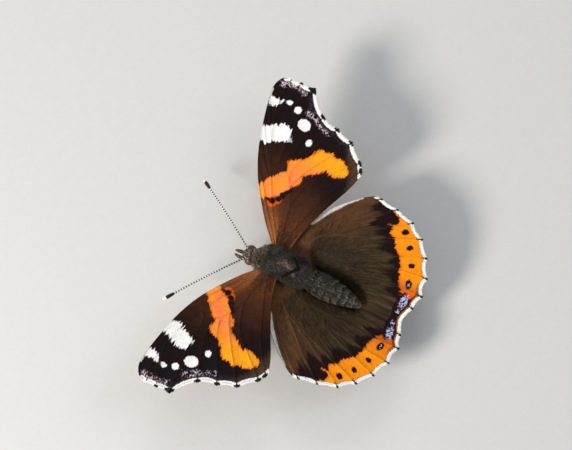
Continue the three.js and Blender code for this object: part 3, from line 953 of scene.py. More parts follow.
@dataclass
class Forewing(Wing):
    """A forewing: black and brown with an orange band, white marks and a hooked tip."""

    hinge: Point3 = (2.6, -1.0, 0.95)
    rise: float = 9.6
    crown: float = 0.35
    kind: str = "forewing"
    slot: str = "forewing_scales"

    def __post_init__(self) -> None:
        """Lays out the veins, front to back."""
        costa = rail(
            (
                (-1.2, 1.9), (0.3, 3.2), (3, 5.6), (6.5, 8.1), (10.2, 10.4), (14.9, 12.35),
                (20.7, 13.8), (25.6, 14.6), (27.8, 14.0), (28.8, 13.0),
            )
        )
        radius = rail(((-1.2, 1.5), (0.5, 2.3), (4.5, 4.7), (8.5, 6.9), (12.6, 9.0)), joins=0.45)
        sector = rail(((16.5, 10.7), (21, 12.1)), radius, 0.45, joins=0.72)
        cubitus = rail(((-1.2, 0.9), (0.9, 1.7), (4.5, 2.3), (8.3, 3.1), (12.3, 5.3)), joins=0.45)
        self.plain_edge = rail(
            ((-1.2, -0.5), (0.6, -0.6), (4.9, -1.6), (10, -3.6), (14.7, -5.7), (17.8, -6.65))
        )
        subcosta = rail(((-1.2, 1.75), (0.6, 2.9), (5, 6.1), (9.5, 9.2)), edge=costa, joins=0.47)
        first = rail(((13, 10.5),), radius, 0.36, costa, 0.61)
        second = rail(((16.6, 11.8),), radius, 0.45, costa, 0.7)
        third = rail(((21, 13.0),), sector, 0.58, costa, 0.85)
        fourth = rail(((13.3, 7.95), (17, 8.0), (23, 8.1), (29.1, 7.5)), radius, 0.45)
        fifth = rail(((12.9, 6.25), (15.2, 6.4), (20, 5.5), (25.0, 3.9)), cubitus, 0.45)
        anal = rail(((-1.2, 0.3), (0.8, 1.0), (5.1, -0.1), (9.4, -1.6), (13.6, -3.3), (18.7, -6.5)))
        self.veins = [
            Vein("C", costa, bay=-0.12, tick=0.0),
            Vein("Sc", subcosta, ends=0.47, at_margin=False),
            Vein("R", radius, ends=0.45, at_margin=False),
            Vein("R1", first, 0.36, 0.61, at_margin=False),
            Vein("R2", second, 0.45, 0.7, at_margin=False),
            Vein("Rs", sector, 0.45, 0.72, at_margin=False),
            Vein("R3", third, 0.58, 0.85, at_margin=False),
            Vein("R4", rail(((25, 12.6), (29.0, 12.0)), sector, 0.72), 0.72, bay=0.15, tick=0.0),
            Vein("R5", rail(((25, 11.2), (29.0, 10.1)), sector, 0.72), 0.72, bay=0.3, tick=0.35),
            Vein("M1", fourth, 0.45, bay=0.56, tick=1.15),
            Vein("M2", fifth, 0.45, bay=0.42),
            Vein("M3", rail(((16.3, 4.2), (24.0, 0.6)), cubitus, 0.45), 0.45, bay=0.32),
            Vein("Cu", cubitus, ends=0.45, at_margin=False),
            Vein("CuA1", rail(((15.4, 1.9), (22.8, -2.8)), cubitus, 0.39), 0.39, bay=0.3),
            Vein("CuA2", rail(((10, 2.2), (13.6, 0.6), (20.0, -5.8)), cubitus, 0.27), 0.27, bay=0.08),
            Vein("2A", anal),
        ]

    def lie(self, where: Array) -> Array:
        """The wing rises outwards with a slight crown."""
        u, v = where[:, 0], where[:, 1]
        angle = math.radians(self.rise)
        crown = self.crown * np.sin(math.pi * np.clip(u / 28.0, 0, 1)) - 0.02 * np.maximum(0, 3 - v)
        x = self.hinge[0] + u * math.cos(angle)
        z = self.hinge[2] + u * math.sin(angle) + crown
        return np.stack([x, self.hinge[1] - v, z], axis=1)

    def markings(self, where: Array) -> dict[str, Array]:
        """Distances to the orange band, the white marks, the reds and the pale speckles."""
        white = np.minimum(
            area_distance(where, smooth_path(COSTAL_BAR, 70, closed=True)),
            area_distance(where, smooth_path(APEX_PATCH, 40, closed=True)),
        )
        speckle = np.full(len(where), 9.0)
        for line in APEX_SPECKLES:
            speckle = np.minimum(speckle, line_distance(where, smooth_path(line, 24)))
        return {
            "band": area_distance(where, smooth_path(ORANGE_BAND, 160, closed=True)),
            "white": white,
            "spots": blot_distance(where, FOREWING_SPOTS),
            "red": blot_distance(where, BASAL_REDS),
            "speckle": speckle,
            "cream": line_distance(where, np.array(CREAM_EDGE)),
            "black": blot_distance(where, BASAL_BLACKS),
            "lead": line_distance(where, self.veins[0].line()),
            "costal": where[:, 1] - 0.42 * where[:, 0] - 0.9,
            "cell": step(where[:, 1] - 0.62 * where[:, 0], 0.9, 1.9),
        }

    def hair_coat(self, rng: Random) -> Coat:
        """Brown hair over the base and along the inner margin."""
        count = 1300
        u = rng.gamma(1.5, 1.2, count)
        v = rng.uniform(-3.0, 3.4, count) * (0.35 + 0.12 * u)
        where = np.stack([u, v + 0.9 - 0.12 * u], axis=1)
        lines = rail_points(self.plain_edge, 40)
        lead = rail_points(self.veins[0].at, 40)
        low = np.interp(where[:, 0], lines[:, 0], lines[:, 1]) + 0.15
        high = np.interp(where[:, 0], lead[:, 0], lead[:, 1]) - 0.15
        keep = (where[:, 1] > low) & (where[:, 1] < high) & (u < 11)
        where = where[keep]
        return wing_hair(self, where, rng, (0.4, 0.9), 0.04)


# Hindwing markings in wing millimetres: outwards from the hinge, then forwards
HINDWING_DOTS = (
    Blot(12.4, -13.95, 1.05, 1.5, 35),
    Blot(10.15, -15.85, 0.95, 1.25, 40),
    Blot(7.3, -17.45, 0.95, 1.2, 20),
    Blot(3.95, -18.35, 1.8, 1.15, 15),
)
BLUE_MARKS = (
    Blot(3.95, -18.4, 0.6, 0.45),
    Blot(0.75, -18.85, 2.4, 1.25, -6),
    Blot(-1.3, -18.6, 0.75, 0.7),
)
ANAL_BLACKS = (Blot(-0.2, -18.4, 5.2, 1.9, -4), Blot(13.75, -11.2, 1.35, 1.25, 20))
HINDWING_BAND = (
    (15.7, -10.2), (14.9, -10.5), (14.5, -11.6), (13.7, -12.1), (12.95, -11.8), (12.6, -10.5),
    (12.3, -10.5), (12.3, -11.6), (10.95, -11.6), (10.6, -12.6), (9.3, -13.2), (8.3, -14.4),
    (7.4, -15.2), (6.2, -15.7), (4.5, -16.2), (2.9, -16.8), (2.3, -17.3), (2.0, -18.2),
    (1.9, -19.5), (2.0, -24.0), (8.0, -24.0), (15.0, -19.0), (17.5, -15.0), (17.5, -10.4),
)
SILVER_STRIPE = ((7.2, 2.2), (9.3, 0.95), (11.0, -0.25), (13.0, -1.95), (15.0, -4.3))


@dataclass
class Hindwing(Wing):
    """A hindwing: dark brown with an orange margin, four black dots and a blue-marked corner."""

    hinge: Point3 = (2.4, 3.2, -0.35)
    rise: float = 8.6
    gutter_edge: float = 4.6
    gutter_depth: float = 2.3
    kind: str = "hindwing"
    slot: str = "hindwing_scales"
    along: int = 150

    def __post_init__(self) -> None:
        """Lays out the veins, front to back."""
        costa = rail(
            (
                (-1.2, 2.9), (0.6, 3.6), (2.4, 3.7), (4.0, 3.35), (5.7, 2.75), (7.6, 2.0), (10.9, -0.1),
                (13.8, -3.0), (15.5, -5.2), (16.25, -6.7),
            )
        )
        radius = rail(((-1.2, 1.1), (0.7, 1.45), (2.6, 1.75)), joins=0.18)
        sector = rail(((4.8, 0.2), (8, -3), (12, -6.9), (15.7, -11.1)), radius, 0.18)
        media = rail(((8.2, -5.2), (11.3, -9.9), (14.6, -14.7)), sector, 0.33)
        cubitus = rail(((-1.2, 0.5), (0.6, -0.8), (2.6, -3.6), (4.3, -6.6)), joins=0.4)
        hook = rail(((2.6, 1.75), (3.2, 2.05), (3.9, 2.6)))
        self.plain_edge = rail(
            (
                (-1.2, -0.6), (-1.9, -2.2), (-2.39, -3.8), (-2.41, -6.6), (-2.41, -10),
                (-2.41, -15), (-2.41, -20.0),
            )
        )
        first = rail(((6.6, 0.8), (11.2, -2.4), (14.4, -5.4), (16.25, -7.7)), radius, 0.18)
        second = rail(((2.5, -7.5), (2.9, -14.5), (2.9, -21.7)), cubitus, 0.22)
        anal = rail(((-1.2, -0.1), (0.3, -1.6), (0.6, -8), (0.5, -15), (0.3, -20.95)))
        self.veins = [
            Vein("C", costa, tick=0.0),
            Vein("humeral", hook, at_margin=False),
            Vein("R", radius, ends=0.18, at_margin=False),
            Vein("Sc", first, 0.18, bay=0.25, tick=0.22),
            Vein("Rs", sector, 0.18, bay=0.22, tick=0.22),
            Vein("M1", media, 0.33, bay=0.35, tick=0.22),
            Vein("M2", rail(((9.2, -9.2), (12.5, -17.4)), media, 0.42), 0.42, bay=0.25, tick=0.22),
            Vein("M3", rail(((6.6, -11.4), (9.7, -19.6)), cubitus, 0.4), 0.4, bay=0.42, tick=0.22),
            Vein("Cu", cubitus, ends=0.4, at_margin=False),
            Vein("CuA1", rail(((5.2, -11.2), (6.3, -21.2)), cubitus, 0.4), 0.4, bay=0.55, tick=0.22),
            Vein("CuA2", second, 0.22, bay=0.3, tick=0.22),
            Vein("2A", anal, bay=0.1, tick=0.22),
        ]

    def lie(self, where: Array) -> Array:
        """The wing rises outwards, and its inner field bends down under the abdomen."""
        u, v = where[:, 0], where[:, 1]
        angle = math.radians(self.rise)
        x = self.hinge[0] + u * math.cos(angle)
        y = self.hinge[1] - v
        inward = 1 - step(x, 0.0, self.gutter_edge)
        beside = step(y, 2.2, 6.5) * (1 - step(y, 11.0, 18.0))
        z = self.hinge[2] + u * math.sin(angle) - self.gutter_depth * inward * beside
        return np.stack([x, y, z], axis=1)

    def stand(self, where: Array) -> Array:
        """Hair stands up in the inner field's hollow, beside the abdomen."""
        low = self.lie(where)[:, 2]
        flat = self.hinge[2] + where[:, 0] * math.sin(math.radians(self.rise))
        return np.clip((flat - low) * 0.75, 0.0, 0.9)

    def markings(self, where: Array) -> dict[str, Array]:
        """Distances to the orange margin, the dots, the blue marks and the silver stripe."""
        u, v = where[:, 0], where[:, 1]
        stripe = line_distance(where, smooth_path(SILVER_STRIPE, 30))
        return {
            "band": area_distance(where, smooth_path(HINDWING_BAND, 170, closed=True)),
            "dots": blot_distance(where, HINDWING_DOTS),
            "blue": blot_distance(where, BLUE_MARKS),
            "black": blot_distance(where, ANAL_BLACKS),
            "silver": stripe + 0.11 * np.maximum(u - 11.5, 0.0),
            "inner": 1 - step(u, 1.5, 6.0),
            "costal": step(u * 0.45 + v * 0.85, -6.0, 3.6),
        }

    def hair_coat(self, rng: Random) -> Coat:
        """Olive-brown hair that streams back from the base and beside the abdomen."""
        count = 12500
        turn = np.radians(-97 + 112 * rng.beta(1.0, 1.7, count))
        reach = rng.gamma(2.4, 2.3, count)
        where = np.stack([0.2 + reach * np.cos(turn), 0.4 + reach * np.sin(turn)], axis=1)
        lines = rail_points(self.plain_edge, 40)
        left = np.interp(-where[:, 1], -lines[:, 1], lines[:, 0]) + 0.5
        band = area_distance(where, smooth_path(HINDWING_BAND, 90, closed=True))
        front = self.markings(where)["costal"]
        starts = (0.8 + 2.4 * front) * rng.uniform(0.2, 1.0, count)
        keep = (where[:, 0] > left) & (reach > starts) & (band > rng.uniform(1.8, 4.2, count))
        keep &= rng.random(count) < np.where(where[:, 0] < 4.5, 1.0, 0.6) * (1.08 - 0.8 * front)
        return wing_hair(self, where[keep], rng, (0.8, 1.8), 0.036)


HAIR_ORIGIN = (-2.0, 1.0)
HAIR_INSET = 0.25


def wing_hair(
    wing: Wing,
    where: Array,
    rng: Random,
    reach: Point2,
    width: float,
) -> Coat:
    """Hairs that lie on a wing and point away from its hinge.

    Args:
        wing: The wing that they grow on.
        where: Their roots, as flat wing places.
        rng: The random draw.
        reach: Shortest and longest, in mm.
        width: Their usual width, in mm.

    Returns:
        The coat.
    """
    away = unit(where - np.array(HAIR_ORIGIN))
    away += rng.normal(0, 0.12, away.shape)
    length = rng.uniform(*reach, len(where))
    ends = where + away * length[:, None]
    outline = wing.outline()[::4]
    inside = np.maximum(area_distance(where, outline), area_distance(ends, outline)) < -HAIR_INSET
    where, ends, length = where[inside], ends[inside], length[inside]
    count = len(where)
    root = wing.place(where, wing.relief(wing.vein_distance(where)) + 0.07)
    tip = wing.place(ends, wing.relief(wing.vein_distance(ends)) + 0.13 + wing.stand(ends))
    lean = unit(tip - root)
    lift = np.tile([0.0, 0.0, 1.0], (count, 1))
    tint = rng.beta(1.3, 2.4, count)
    widths = width * rng.uniform(0.6, 1.4, count)
    name = wing.name + "_hair"
    return Coat(name, root, lean, lift, length, widths, tint, unit_square(where), rise=0.05)


# Wing finishes: colours are linear, and a rise turns a distance in mm into a share


@dataclass(frozen=True)
class WingFinish:
    """What both wings' upper sides share: scale grain, veins and roughness."""

    side: Side
    black: Rgb = (0.0105, 0.0042, 0.0036)
    brown: Rgb = (0.07, 0.022, 0.01)
    orange: Rgb = (0.97, 0.29, 0.022)
    red: Rgb = (0.62, 0.095, 0.01)
    white: Rgb = (0.9, 0.89, 0.87)
    pink: Rgb = (0.6, 0.48, 0.55)
    vein_brown: Rgb = (0.16, 0.055, 0.014)
    hem_width: float = 0.46

    def places(self, graph: Graph, scale: Point3 = (1, 1, 1), name: str = "plane") -> Socket:
        """A wing's scaled UV map, moved so that the two sides aren't mirror copies."""
        move = (40.0, 15.0, 0.0) if self.side is Side.RIGHT else (0.0, 0.0, 0.0)
        return graph.plane(name, scale, move)

    def fine(self, graph: Graph) -> Shade:
        """Scale-fine noise about 0, in millimetres of edge wander."""
        scales = graph.tones(self.places(graph, (4.5, 9, 9)))
        soft = graph.noise(self.places(graph), 3.2, 4.0)
        return (scales - 0.5) * 0.34 + (soft - 0.5) * 0.5

    def teeth(self, graph: Graph) -> Shade:
        """Noise about 0 drawn out along the wing, which gives the markings their ragged ends."""
        return graph.noise(self.places(graph, (64, 4.5, 1), "grain"), 1.0, 4.0) - 0.5

    def grain(self, graph: Graph) -> Shade:
        """How light each scale is, about 1."""
        scales = graph.tones(self.places(graph, (11, 11, 11)))
        soft = graph.noise(self.places(graph), 0.8, 4.0)
        return (scales - 0.5) * 0.34 + soft * 0.5 + 0.75

    def vein_end(self, graph: Graph) -> Shade:
        """The short black dash where each vein meets the margin."""
        return graph.attribute("vein").rise(0.14, 0.07) * graph.attribute("edge").rise(0.75, 0.45)

    def hem(self, graph: Graph, fine: Shade) -> Shade:
        """How white the margin is in its bays, under the fringe."""
        reach = (graph.attribute("edge") + fine * 0.4).rise(self.hem_width, self.hem_width - 0.1)
        return reach * (graph.attribute("ends") + fine * 0.3).rise(0.0, 0.15)

    def normal(self, graph: Graph) -> Socket:
        """Rows of overlapping scales, and the veins' sharp crests."""
        scales = graph.cells(self.places(graph, (11, 11, 11)))
        vein = graph.attribute("vein").rise(0.16, 0.02)
        return graph.bump(vein * 1.2 - scales * 0.35, 0.55, 0.05)


@dataclass(frozen=True)
class ForewingFinish(WingFinish):
    """The forewing's upper side."""

    def material(self) -> Material:
        """Black and brown ground, the orange band and the white marks."""
        graph = Graph(f"forewing_upper_{self.side.word}")
        fine = self.fine(graph)
        out = graph.attribute("outward")
        soft = graph.noise(self.places(graph), 0.45, 3.0)
        dust = graph.tones(self.places(graph, (8, 15, 9)))
        teeth = self.teeth(graph)
        # Painted sheen: patchy blue-black over the outer part of the black ground stands in for the wing's
        # iridescent gloss.
        painted_sheen = out.rise(0.6, 0.95) * soft.rise(0.4, 0.6)
        night = graph.mix(painted_sheen, self.black, (0.0075, 0.0055, 0.008))
        margin = (graph.attribute("edge") + soft * 2.0).rise(2.6, 1.4)
        night = graph.mix(margin * dust.rise(0.72, 0.9) * 0.8, night, (0.11, 0.1, 0.13))
        base = (out + (soft - 0.5) * 0.25 + fine * 0.1).rise(0.72, 0.25)
        ground = graph.mix(base, night, self.brown)
        corner = (graph.attribute("costal") + (soft - 0.5) * 2.0).rise(-11.2, -14.0)
        ground = graph.mix(corner * (dust * 0.7 + 0.3), ground, (0.1, 0.06, 0.026))
        rusty = (graph.attribute("costal") + (soft - 0.5) * 1.2 + fine).rise(-0.6, 1.6)
        near = (out + fine * 0.06).rise(0.42, 0.1)
        rust = rusty.largest(near * 0.55) * near * (dust * 0.5 + 0.5)
        ground = graph.mix(rust, ground, (0.34, 0.09, 0.016))
        powder = dust.rise(0.6, 0.85) * graph.attribute("cell") * near
        ground = graph.mix(powder * 0.4, ground, (0.32, 0.24, 0.16))
        red = (graph.attribute("red") + fine * 0.6).rise(0.12, -0.12)
        ground = graph.mix(red, ground, self.red)
        band = (graph.attribute("band") + fine * 0.7 + teeth * 1.5).rise(0.08, -0.08)
        inner = (graph.attribute("band") + fine + teeth * 1.5).rise(-0.05, -0.45)
        flame = graph.mix(inner, (0.9, 0.19, 0.008), self.orange)
        salmon = soft.rise(0.36, 0.6) * inner * out.rise(0.8, 0.5)
        flame = graph.mix(salmon, flame, (0.96, 0.23, 0.07))
        gold = (graph.attribute("lead") + fine).rise(0.75, 0.2)
        gold = gold.largest((out + fine * 0.05).rise(0.62, 0.84))
        flame = graph.mix(gold * inner * 0.75, flame, (0.97, 0.42, 0.008))
        body = graph.mix(band, ground, flame)
        blacks = (graph.attribute("black") + fine * 0.5).rise(0.1, -0.1)
        body = graph.mix(blacks, body, self.black)
        white = (graph.attribute("white") + fine * 0.8 + teeth * 2.2).rise(0.05, -0.05)
        white = white.largest((graph.attribute("spots") + fine * 0.6).rise(0.05, -0.05))
        body = graph.mix(white, body, self.white)
        flakes = graph.tones(self.places(graph, (3.4, 5.5, 4))).rise(0.5, 0.58)
        speckle = (graph.attribute("speckle") + fine * 2.2 + (soft - 0.5) * 1.6).rise(0.5, 0.15) * flakes
        body = graph.mix(speckle, body, self.pink)
        cream = (graph.attribute("cream") + fine * 0.3).rise(0.42, 0.25)
        body = graph.mix(cream, body, (0.8, 0.72, 0.58))
        vein = graph.attribute("vein").rise(0.1, 0.03)
        crest = graph.mix(out.rise(0.24, 0.05), (0.02, 0.009, 0.006), (0.4, 0.13, 0.03))
        crest = graph.mix(band, crest, (0.42, 0.07, 0.01))
        body = graph.mix(vein * (0.5 - white * 0.3 - band * 0.2), body, crest)
        body = graph.mix(self.hem(graph, fine), body, self.white)
        body = graph.mix(self.vein_end(graph), body, self.black)
        return graph.finish(
            {
                "Base Color": graph.dim(body, self.grain(graph)),
                "Roughness": 0.62 - band * 0.05 + fine * 0.1,
                "Specular IOR Level": 0.07,
                "Normal": self.normal(graph),
            }
        )


@dataclass(frozen=True)
class HindwingFinish(WingFinish):
    """The hindwing's upper side."""

    orange: Rgb = (0.95, 0.28, 0.006)
    olive: Rgb = (0.022, 0.0125, 0.005)
    russet: Rgb = (0.13, 0.05, 0.019)
    blue: Rgb = (0.5, 0.48, 0.78)
    hem_width: float = 0.34

    def material(self) -> Material:
        """Streaked brown ground, the orange margin, its dots and the blue corner."""
        graph = Graph(f"hindwing_upper_{self.side.word}")
        fine = self.fine(graph)
        streaks = graph.noise(self.places(graph, (46, 3.2, 1), "grain"), 1.0, 4.0)
        ground = graph.mix(streaks.rise(0.3, 0.75), self.olive, (0.075, 0.048, 0.023))
        ground = graph.mix(graph.attribute("costal") * (0.4 + streaks * 0.5), ground, self.russet)
        bay = graph.attribute("vein").rise(0.1, 1.3)
        reach = graph.attribute("band") + (streaks - 0.5) * 3.6 - bay * 1.5 - graph.attribute("costal") * 1.8
        near = reach.rise(2.1, 0.6)
        ground = graph.mix(near, ground, self.black)
        inner = graph.attribute("inner")
        wander = fine * 0.7 + (streaks - 0.5) * (inner * 2.0 + 1.3)
        band = (graph.attribute("band") + wander).rise(0.1, -0.1)
        depth = (graph.attribute("band") + wander).rise(0.0, -0.5)
        flame = graph.mix(depth, (0.8, 0.17, 0.008), self.orange)
        flame = graph.mix(inner, flame, (0.6, 0.1, 0.008))
        body = graph.mix(band, ground, flame)
        dots = (graph.attribute("dots") + fine * 0.55).rise(0.07, -0.07)
        black = (graph.attribute("black") + fine * 0.6).rise(0.1, -0.1)
        body = graph.mix(dots.largest(black), body, self.black)
        blue = (graph.attribute("blue") + fine * 1.2).rise(0.1, -0.1)
        flakes = graph.tones(self.places(graph, (3.8, 3.8, 4))).rise(0.34, 0.42)
        body = graph.mix(blue * flakes, body, self.blue)
        line = graph.attribute("edge") + fine * 0.15
        body = graph.mix(line.rise(0.85, 0.75) * inner * 0.9, body, self.black)
        body = graph.mix(line.rise(0.6, 0.5) * inner * 0.8, body, (0.5, 0.17, 0.02))
        body = graph.mix(line.rise(0.42, 0.34) * 0.85, body, (0.03, 0.01, 0.004))
        silver = (graph.attribute("silver") + fine * 0.4).rise(0.72, 0.48)
        body = graph.mix(silver * 0.9, body, (0.74, 0.7, 0.66))
        vein = graph.attribute("vein").rise(0.1, 0.03)
        basal = graph.attribute("outward").rise(0.36, 0.1)
        crest = graph.mix(basal, (0.06, 0.055, 0.045), self.vein_brown)
        crest = graph.mix(band, crest, (0.3, 0.05, 0.004))
        body = graph.mix(vein * (basal * 0.4 + 0.4), body, crest)
        body = graph.mix(self.hem(graph, fine), body, self.white)
        body = graph.mix(self.vein_end(graph), body, self.black)
        return graph.finish(
            {
                "Base Color": graph.dim(body, self.grain(graph)),
                "Roughness": 0.62 - band * 0.05 + fine * 0.1,
                "Specular IOR Level": 0.07,
                "Normal": self.normal(graph),
            }
        )


@dataclass(frozen=True)
class UndersideFinish(WingFinish):
    """The undersides: marbled bark-brown, with the forewing's band paler than above."""

    fore: bool = True

    def material(self) -> Material:
        """Marbled browns; on the forewing the band, the white marks and a dark middle too."""
        word = "forewing" if self.fore else "hindwing"
        graph = Graph(f"{word}_under_{self.side.word}")
        fine = self.fine(graph)
        broad = graph.noise(self.places(graph), 0.5, 5.0)
        small = graph.noise(self.places(graph), 1.9, 5.0)
        bark = graph.mix((broad - 0.35) * 2.6, (0.022, 0.014, 0.01), (0.15, 0.1, 0.062))
        bark = graph.mix((small - 0.52) * 3.4, bark, (0.3, 0.25, 0.21))
        out = graph.attribute("outward")
        if self.fore:
            middle = (out + (broad - 0.5) * 0.25).rise(0.92, 0.72)
            bark = graph.mix(middle * 0.9, bark, self.black)
            band = (graph.attribute("band") + fine * 0.6).rise(0.15, -0.15)
            bark = graph.mix(band, bark, (0.72, 0.16, 0.07))
            white = (graph.attribute("white") + fine * 0.5).rise(0.12, -0.12)
            white = white.largest((graph.attribute("spots") + fine * 0.5).rise(0.12, -0.12))
            bark = graph.mix(white, bark, (0.72, 0.66, 0.6))
        else:
            rim = (graph.attribute("edge") + (small - 0.5) * 1.2).rise(2.0, 1.2)
            bark = graph.mix(rim * 0.5, bark, (0.2, 0.145, 0.1))
            dots = (graph.attribute("dots") + 0.1).rise(0.12, -0.1)
            bark = graph.mix(dots * 0.7, bark, (0.02, 0.025, 0.03))
            silver = graph.attribute("silver").rise(0.6, 0.2)
            bark = graph.mix(silver * 0.6, bark, (0.4, 0.34, 0.27))
        vein = graph.attribute("vein").rise(0.14, 0.03)
        bark = graph.mix(vein * 0.6, bark, (0.13, 0.08, 0.045))
        return graph.finish(
            {
                "Base Color": graph.dim(bark, self.grain(graph)),
                "Roughness": 0.74 + fine * 0.1,
                "Specular IOR Level": 0.2,
                "Normal": self.normal(graph),
            }
        )


FRINGE_FINISH = FurFinish(
    "fringe_scales",
    ((0.0, (0.01, 0.007, 0.006)), (0.4, (0.12, 0.1, 0.09)), (0.65, (0.92, 0.91, 0.89))),
    roughness=0.7,
    root_shade=0.9,
)
FOREWING_HAIR = FurFinish(
    "forewing_hair",
    ((0.0, (0.02, 0.01, 0.006)), (0.5, (0.12, 0.044, 0.016)), (0.95, (0.27, 0.12, 0.045))),
)
HINDWING_HAIR = FurFinish(
    "hindwing_hair",
    ((0.0, (0.014, 0.0085, 0.0035)), (0.5, (0.07, 0.041, 0.016)), (0.95, (0.22, 0.135, 0.058))),
    root_shade=0.75,
)


# Trunk


GROOVE_CORNERS = ((-1.35, 1.0), (0.15, 2.5), (2.1, 0.65))
ABDOMEN_FRONT = 4.3
ABDOMEN_LENGTH = 11.0
ABDOMEN_RINGS = 8


@dataclass
class Trunk:
    """Head, thorax and abdomen: one skin, and the fur and scales on it."""

    # Rows of y, centre x, centre z, half width, rise above the centre and depth below it
    thorax: Sequence[tuple[float, ...]] = (
        (-5.2, 0.7, -0.22, 1.15, 1.1, 1.1),
        (-4.7, 0.6, -0.12, 1.8, 1.65, 1.6),
        (-3.9, 0.43, -0.04, 2.35, 2.15, 2.0),
        (-2.4, 0.2, 0.0, 2.8, 2.5, 2.35),
        (-0.4, 0.04, 0.0, 2.95, 2.62, 2.5),
        (1.6, 0.0, 0.0, 2.85, 2.5, 2.5),
        (2.9, 0.1, 0.03, 2.55, 2.2, 2.25),
        (4.0, 0.25, 0.05, 2.05, 1.75, 1.85),
    )
    abdomen: Sequence[tuple[float, ...]] = (
        (4.3, 0.28, 0.05, 1.75, 1.6, 1.6),
        (5.6, 0.4, 0.05, 2.2, 1.98, 1.92),
        (7.6, 0.52, 0.0, 2.42, 2.18, 2.05),
        (9.6, 0.6, -0.05, 2.26, 2.02, 1.9),
        (11.6, 0.68, -0.15, 1.84, 1.66, 1.54),
        (13.3, 0.76, -0.26, 1.32, 1.2, 1.1),
        (14.7, 0.83, -0.36, 0.76, 0.7, 0.62),
        (15.3, 0.86, -0.4, 0.32, 0.3, 0.26),
    )
    fur_depth: float = 0.42
    scale_depth: float = 0.12
    ring_depths: Point2 = (0.09, 0.04)
    head_place: Point3 = (0.75, -6.45, -0.2)
    head_yaw: float = 14.0
    head_radii: Point3 = (1.05, 1.0, 1.15)
    head_sink: float = 0.08
    neck_end: Point3 = (0.72, -4.2, -0.15)
    neck_radii: Point2 = (0.72, 0.8)
    voxel: float = 0.11

    def section(self, y: Array) -> Array:
        """Centre x, centre z, half width, rise and depth at each y."""
        rows = np.array([*self.thorax, *self.abdomen])
        return np.stack([np.interp(y, rows[:, 0], column) for column in rows.T[1:]], axis=1)

    def surface(self, y: Array, angle: Array, sink: Array) -> Array:
        """Trunk points at angles from +X upwards, sunk by sink."""
        x, z, width, rise, depth = self.section(y).T
        height = np.where(np.sin(angle) > 0, rise, depth)
        across = x + (width - sink) * np.cos(angle)
        return np.stack([across, y, z + (height - sink) * np.sin(angle)], axis=1)

    def sink(self, y: Array) -> Array:
        """How far the skin lies inside the coat's middle surface, with the abdomen's rings."""
        first = ABDOMEN_FRONT
        last = first + ABDOMEN_LENGTH
        share = ((y - first) / ABDOMEN_LENGTH * ABDOMEN_RINGS) % 1.0
        fold, lip = self.ring_depths
        ring = fold * (1 - step(share, 0.0, 0.4)) + lip * step(share, 0.9, 1.0)
        return np.where(y > first, self.scale_depth + ring * step(last - y, 0.0, 2.0), self.fur_depth)

    def head_point(self, points: Array) -> Array:
        """Head-frame points in the trunk frame."""
        angle = math.radians(self.head_yaw)
        turn = np.array([[math.cos(angle), -math.sin(angle)], [math.sin(angle), math.cos(angle)]])
        placed = np.array(points, float)
        placed[..., :2] = placed[..., :2] @ turn.T
        return placed + np.array(self.head_place)

    def skin(self, material: Material) -> Piece:
        """One skin from the face to the tail."""
        bm = bmesh.new()
        angles = np.linspace(0, 2 * math.pi, 48, endpoint=False)
        places = np.concatenate([np.linspace(-5.2, 4.25, 34), np.linspace(4.35, 15.28, 110)])
        rings = []
        for y in places:
            level = np.full(len(angles), y)
            rings.append(to_row(self.surface(level, angles, self.sink(level))))
        ring_tube(bm, rings)
        head = bmesh.ops.create_uvsphere(bm, u_segments=40, v_segments=28, radius=1.0)["verts"]
        for vert in head:
            shape = np.array(vert.co) * (np.array(self.head_radii) - self.head_sink)
            shape[1] -= 0.12 * max(0.0, 1.0 - abs(shape[2] + 0.3))
            vert.co = Vector(to_row(self.head_point(shape)))
        neck = np.array([self.head_place, self.neck_end])
        ring_tube(bm, bar_rings(neck, np.array(self.neck_radii), 24))
        bmesh.ops.recalc_face_normals(bm, faces=bm.faces)
        piece = as_object("body_skin", as_mesh("trunk_rough", bm))
        remesh = piece.modifiers.new("one_skin", "REMESH")
        remesh.mode = "VOXEL"
        remesh.voxel_size = self.voxel * MM
        graph = bpy.context.evaluated_depsgraph_get()
        mesh = bpy.data.meshes.new_from_object(piece.evaluated_get(graph))
        piece.modifiers.clear()
        piece.data = mesh
        mesh.name = "body_skin"
        bm = bmesh.new()
        bm.from_mesh(mesh)
        axes = {f"use_axis_{axis}": True for axis in "xyz"}
        for _ in range(2):
            bmesh.ops.smooth_vert(bm, verts=bm.verts, factor=0.5, **axes)
        bm.to_mesh(mesh)
        bm.free()
        shade_smooth(mesh)
        mesh.materials.clear()
        mesh.materials.append(material)
        return settle(piece, "fur", ["head", "prothorax", "mesothorax", "metathorax", "abdomen"])

    def normal(self, y: Array, angle: Array) -> Array:
        """Outward directions on the trunk."""
        zero = np.zeros_like(y)
        ahead = self.surface(y + 0.05, angle, zero) - self.surface(y - 0.05, angle, zero)
        around = self.surface(y, angle + 0.02, zero) - self.surface(y, angle - 0.02, zero)
        out = unit(np.cross(ahead, around))
        centre = self.section(y)
        from_axis = self.surface(y, angle, zero) - np.stack([centre[:, 0], y, centre[:, 1]], axis=1)
        return out * np.sign(np.sum(out * from_axis, axis=1))[:, None]

    def coat(self, patch: "FurPatch", rng: Random) -> Coat:
        """One patch of tufts on the trunk."""
        y = rng.uniform(*patch.span, patch.count)
        angle = rng.uniform(*patch.angles, patch.count)
        root = self.surface(y, angle, self.sink(y) + 0.03)
        out = self.normal(y, angle)
        lie = patch.lie(angle) + rng.normal(0, patch.scatter, (patch.count, 3))
        lie = square_to(lie, out)
        length = rng.uniform(*patch.length, patch.count)
        tints = patch.tint(root + lie * length[:, None] * 0.55, angle)
        noise = rng.normal(0, patch.mottle, patch.count) * (tints > 0.02)
        unwrap = np.stack([angle / (2 * math.pi) % 1.0, (y + 6) / 22], axis=1) * 0.95 + 0.02
        widths = patch.width * rng.uniform(0.6, 1.4, patch.count)
        tints = np.clip(tints + noise, 0, 1)
        return Coat(patch.name, root, lie, out, length, widths, tints, unwrap, rise=patch.rise)

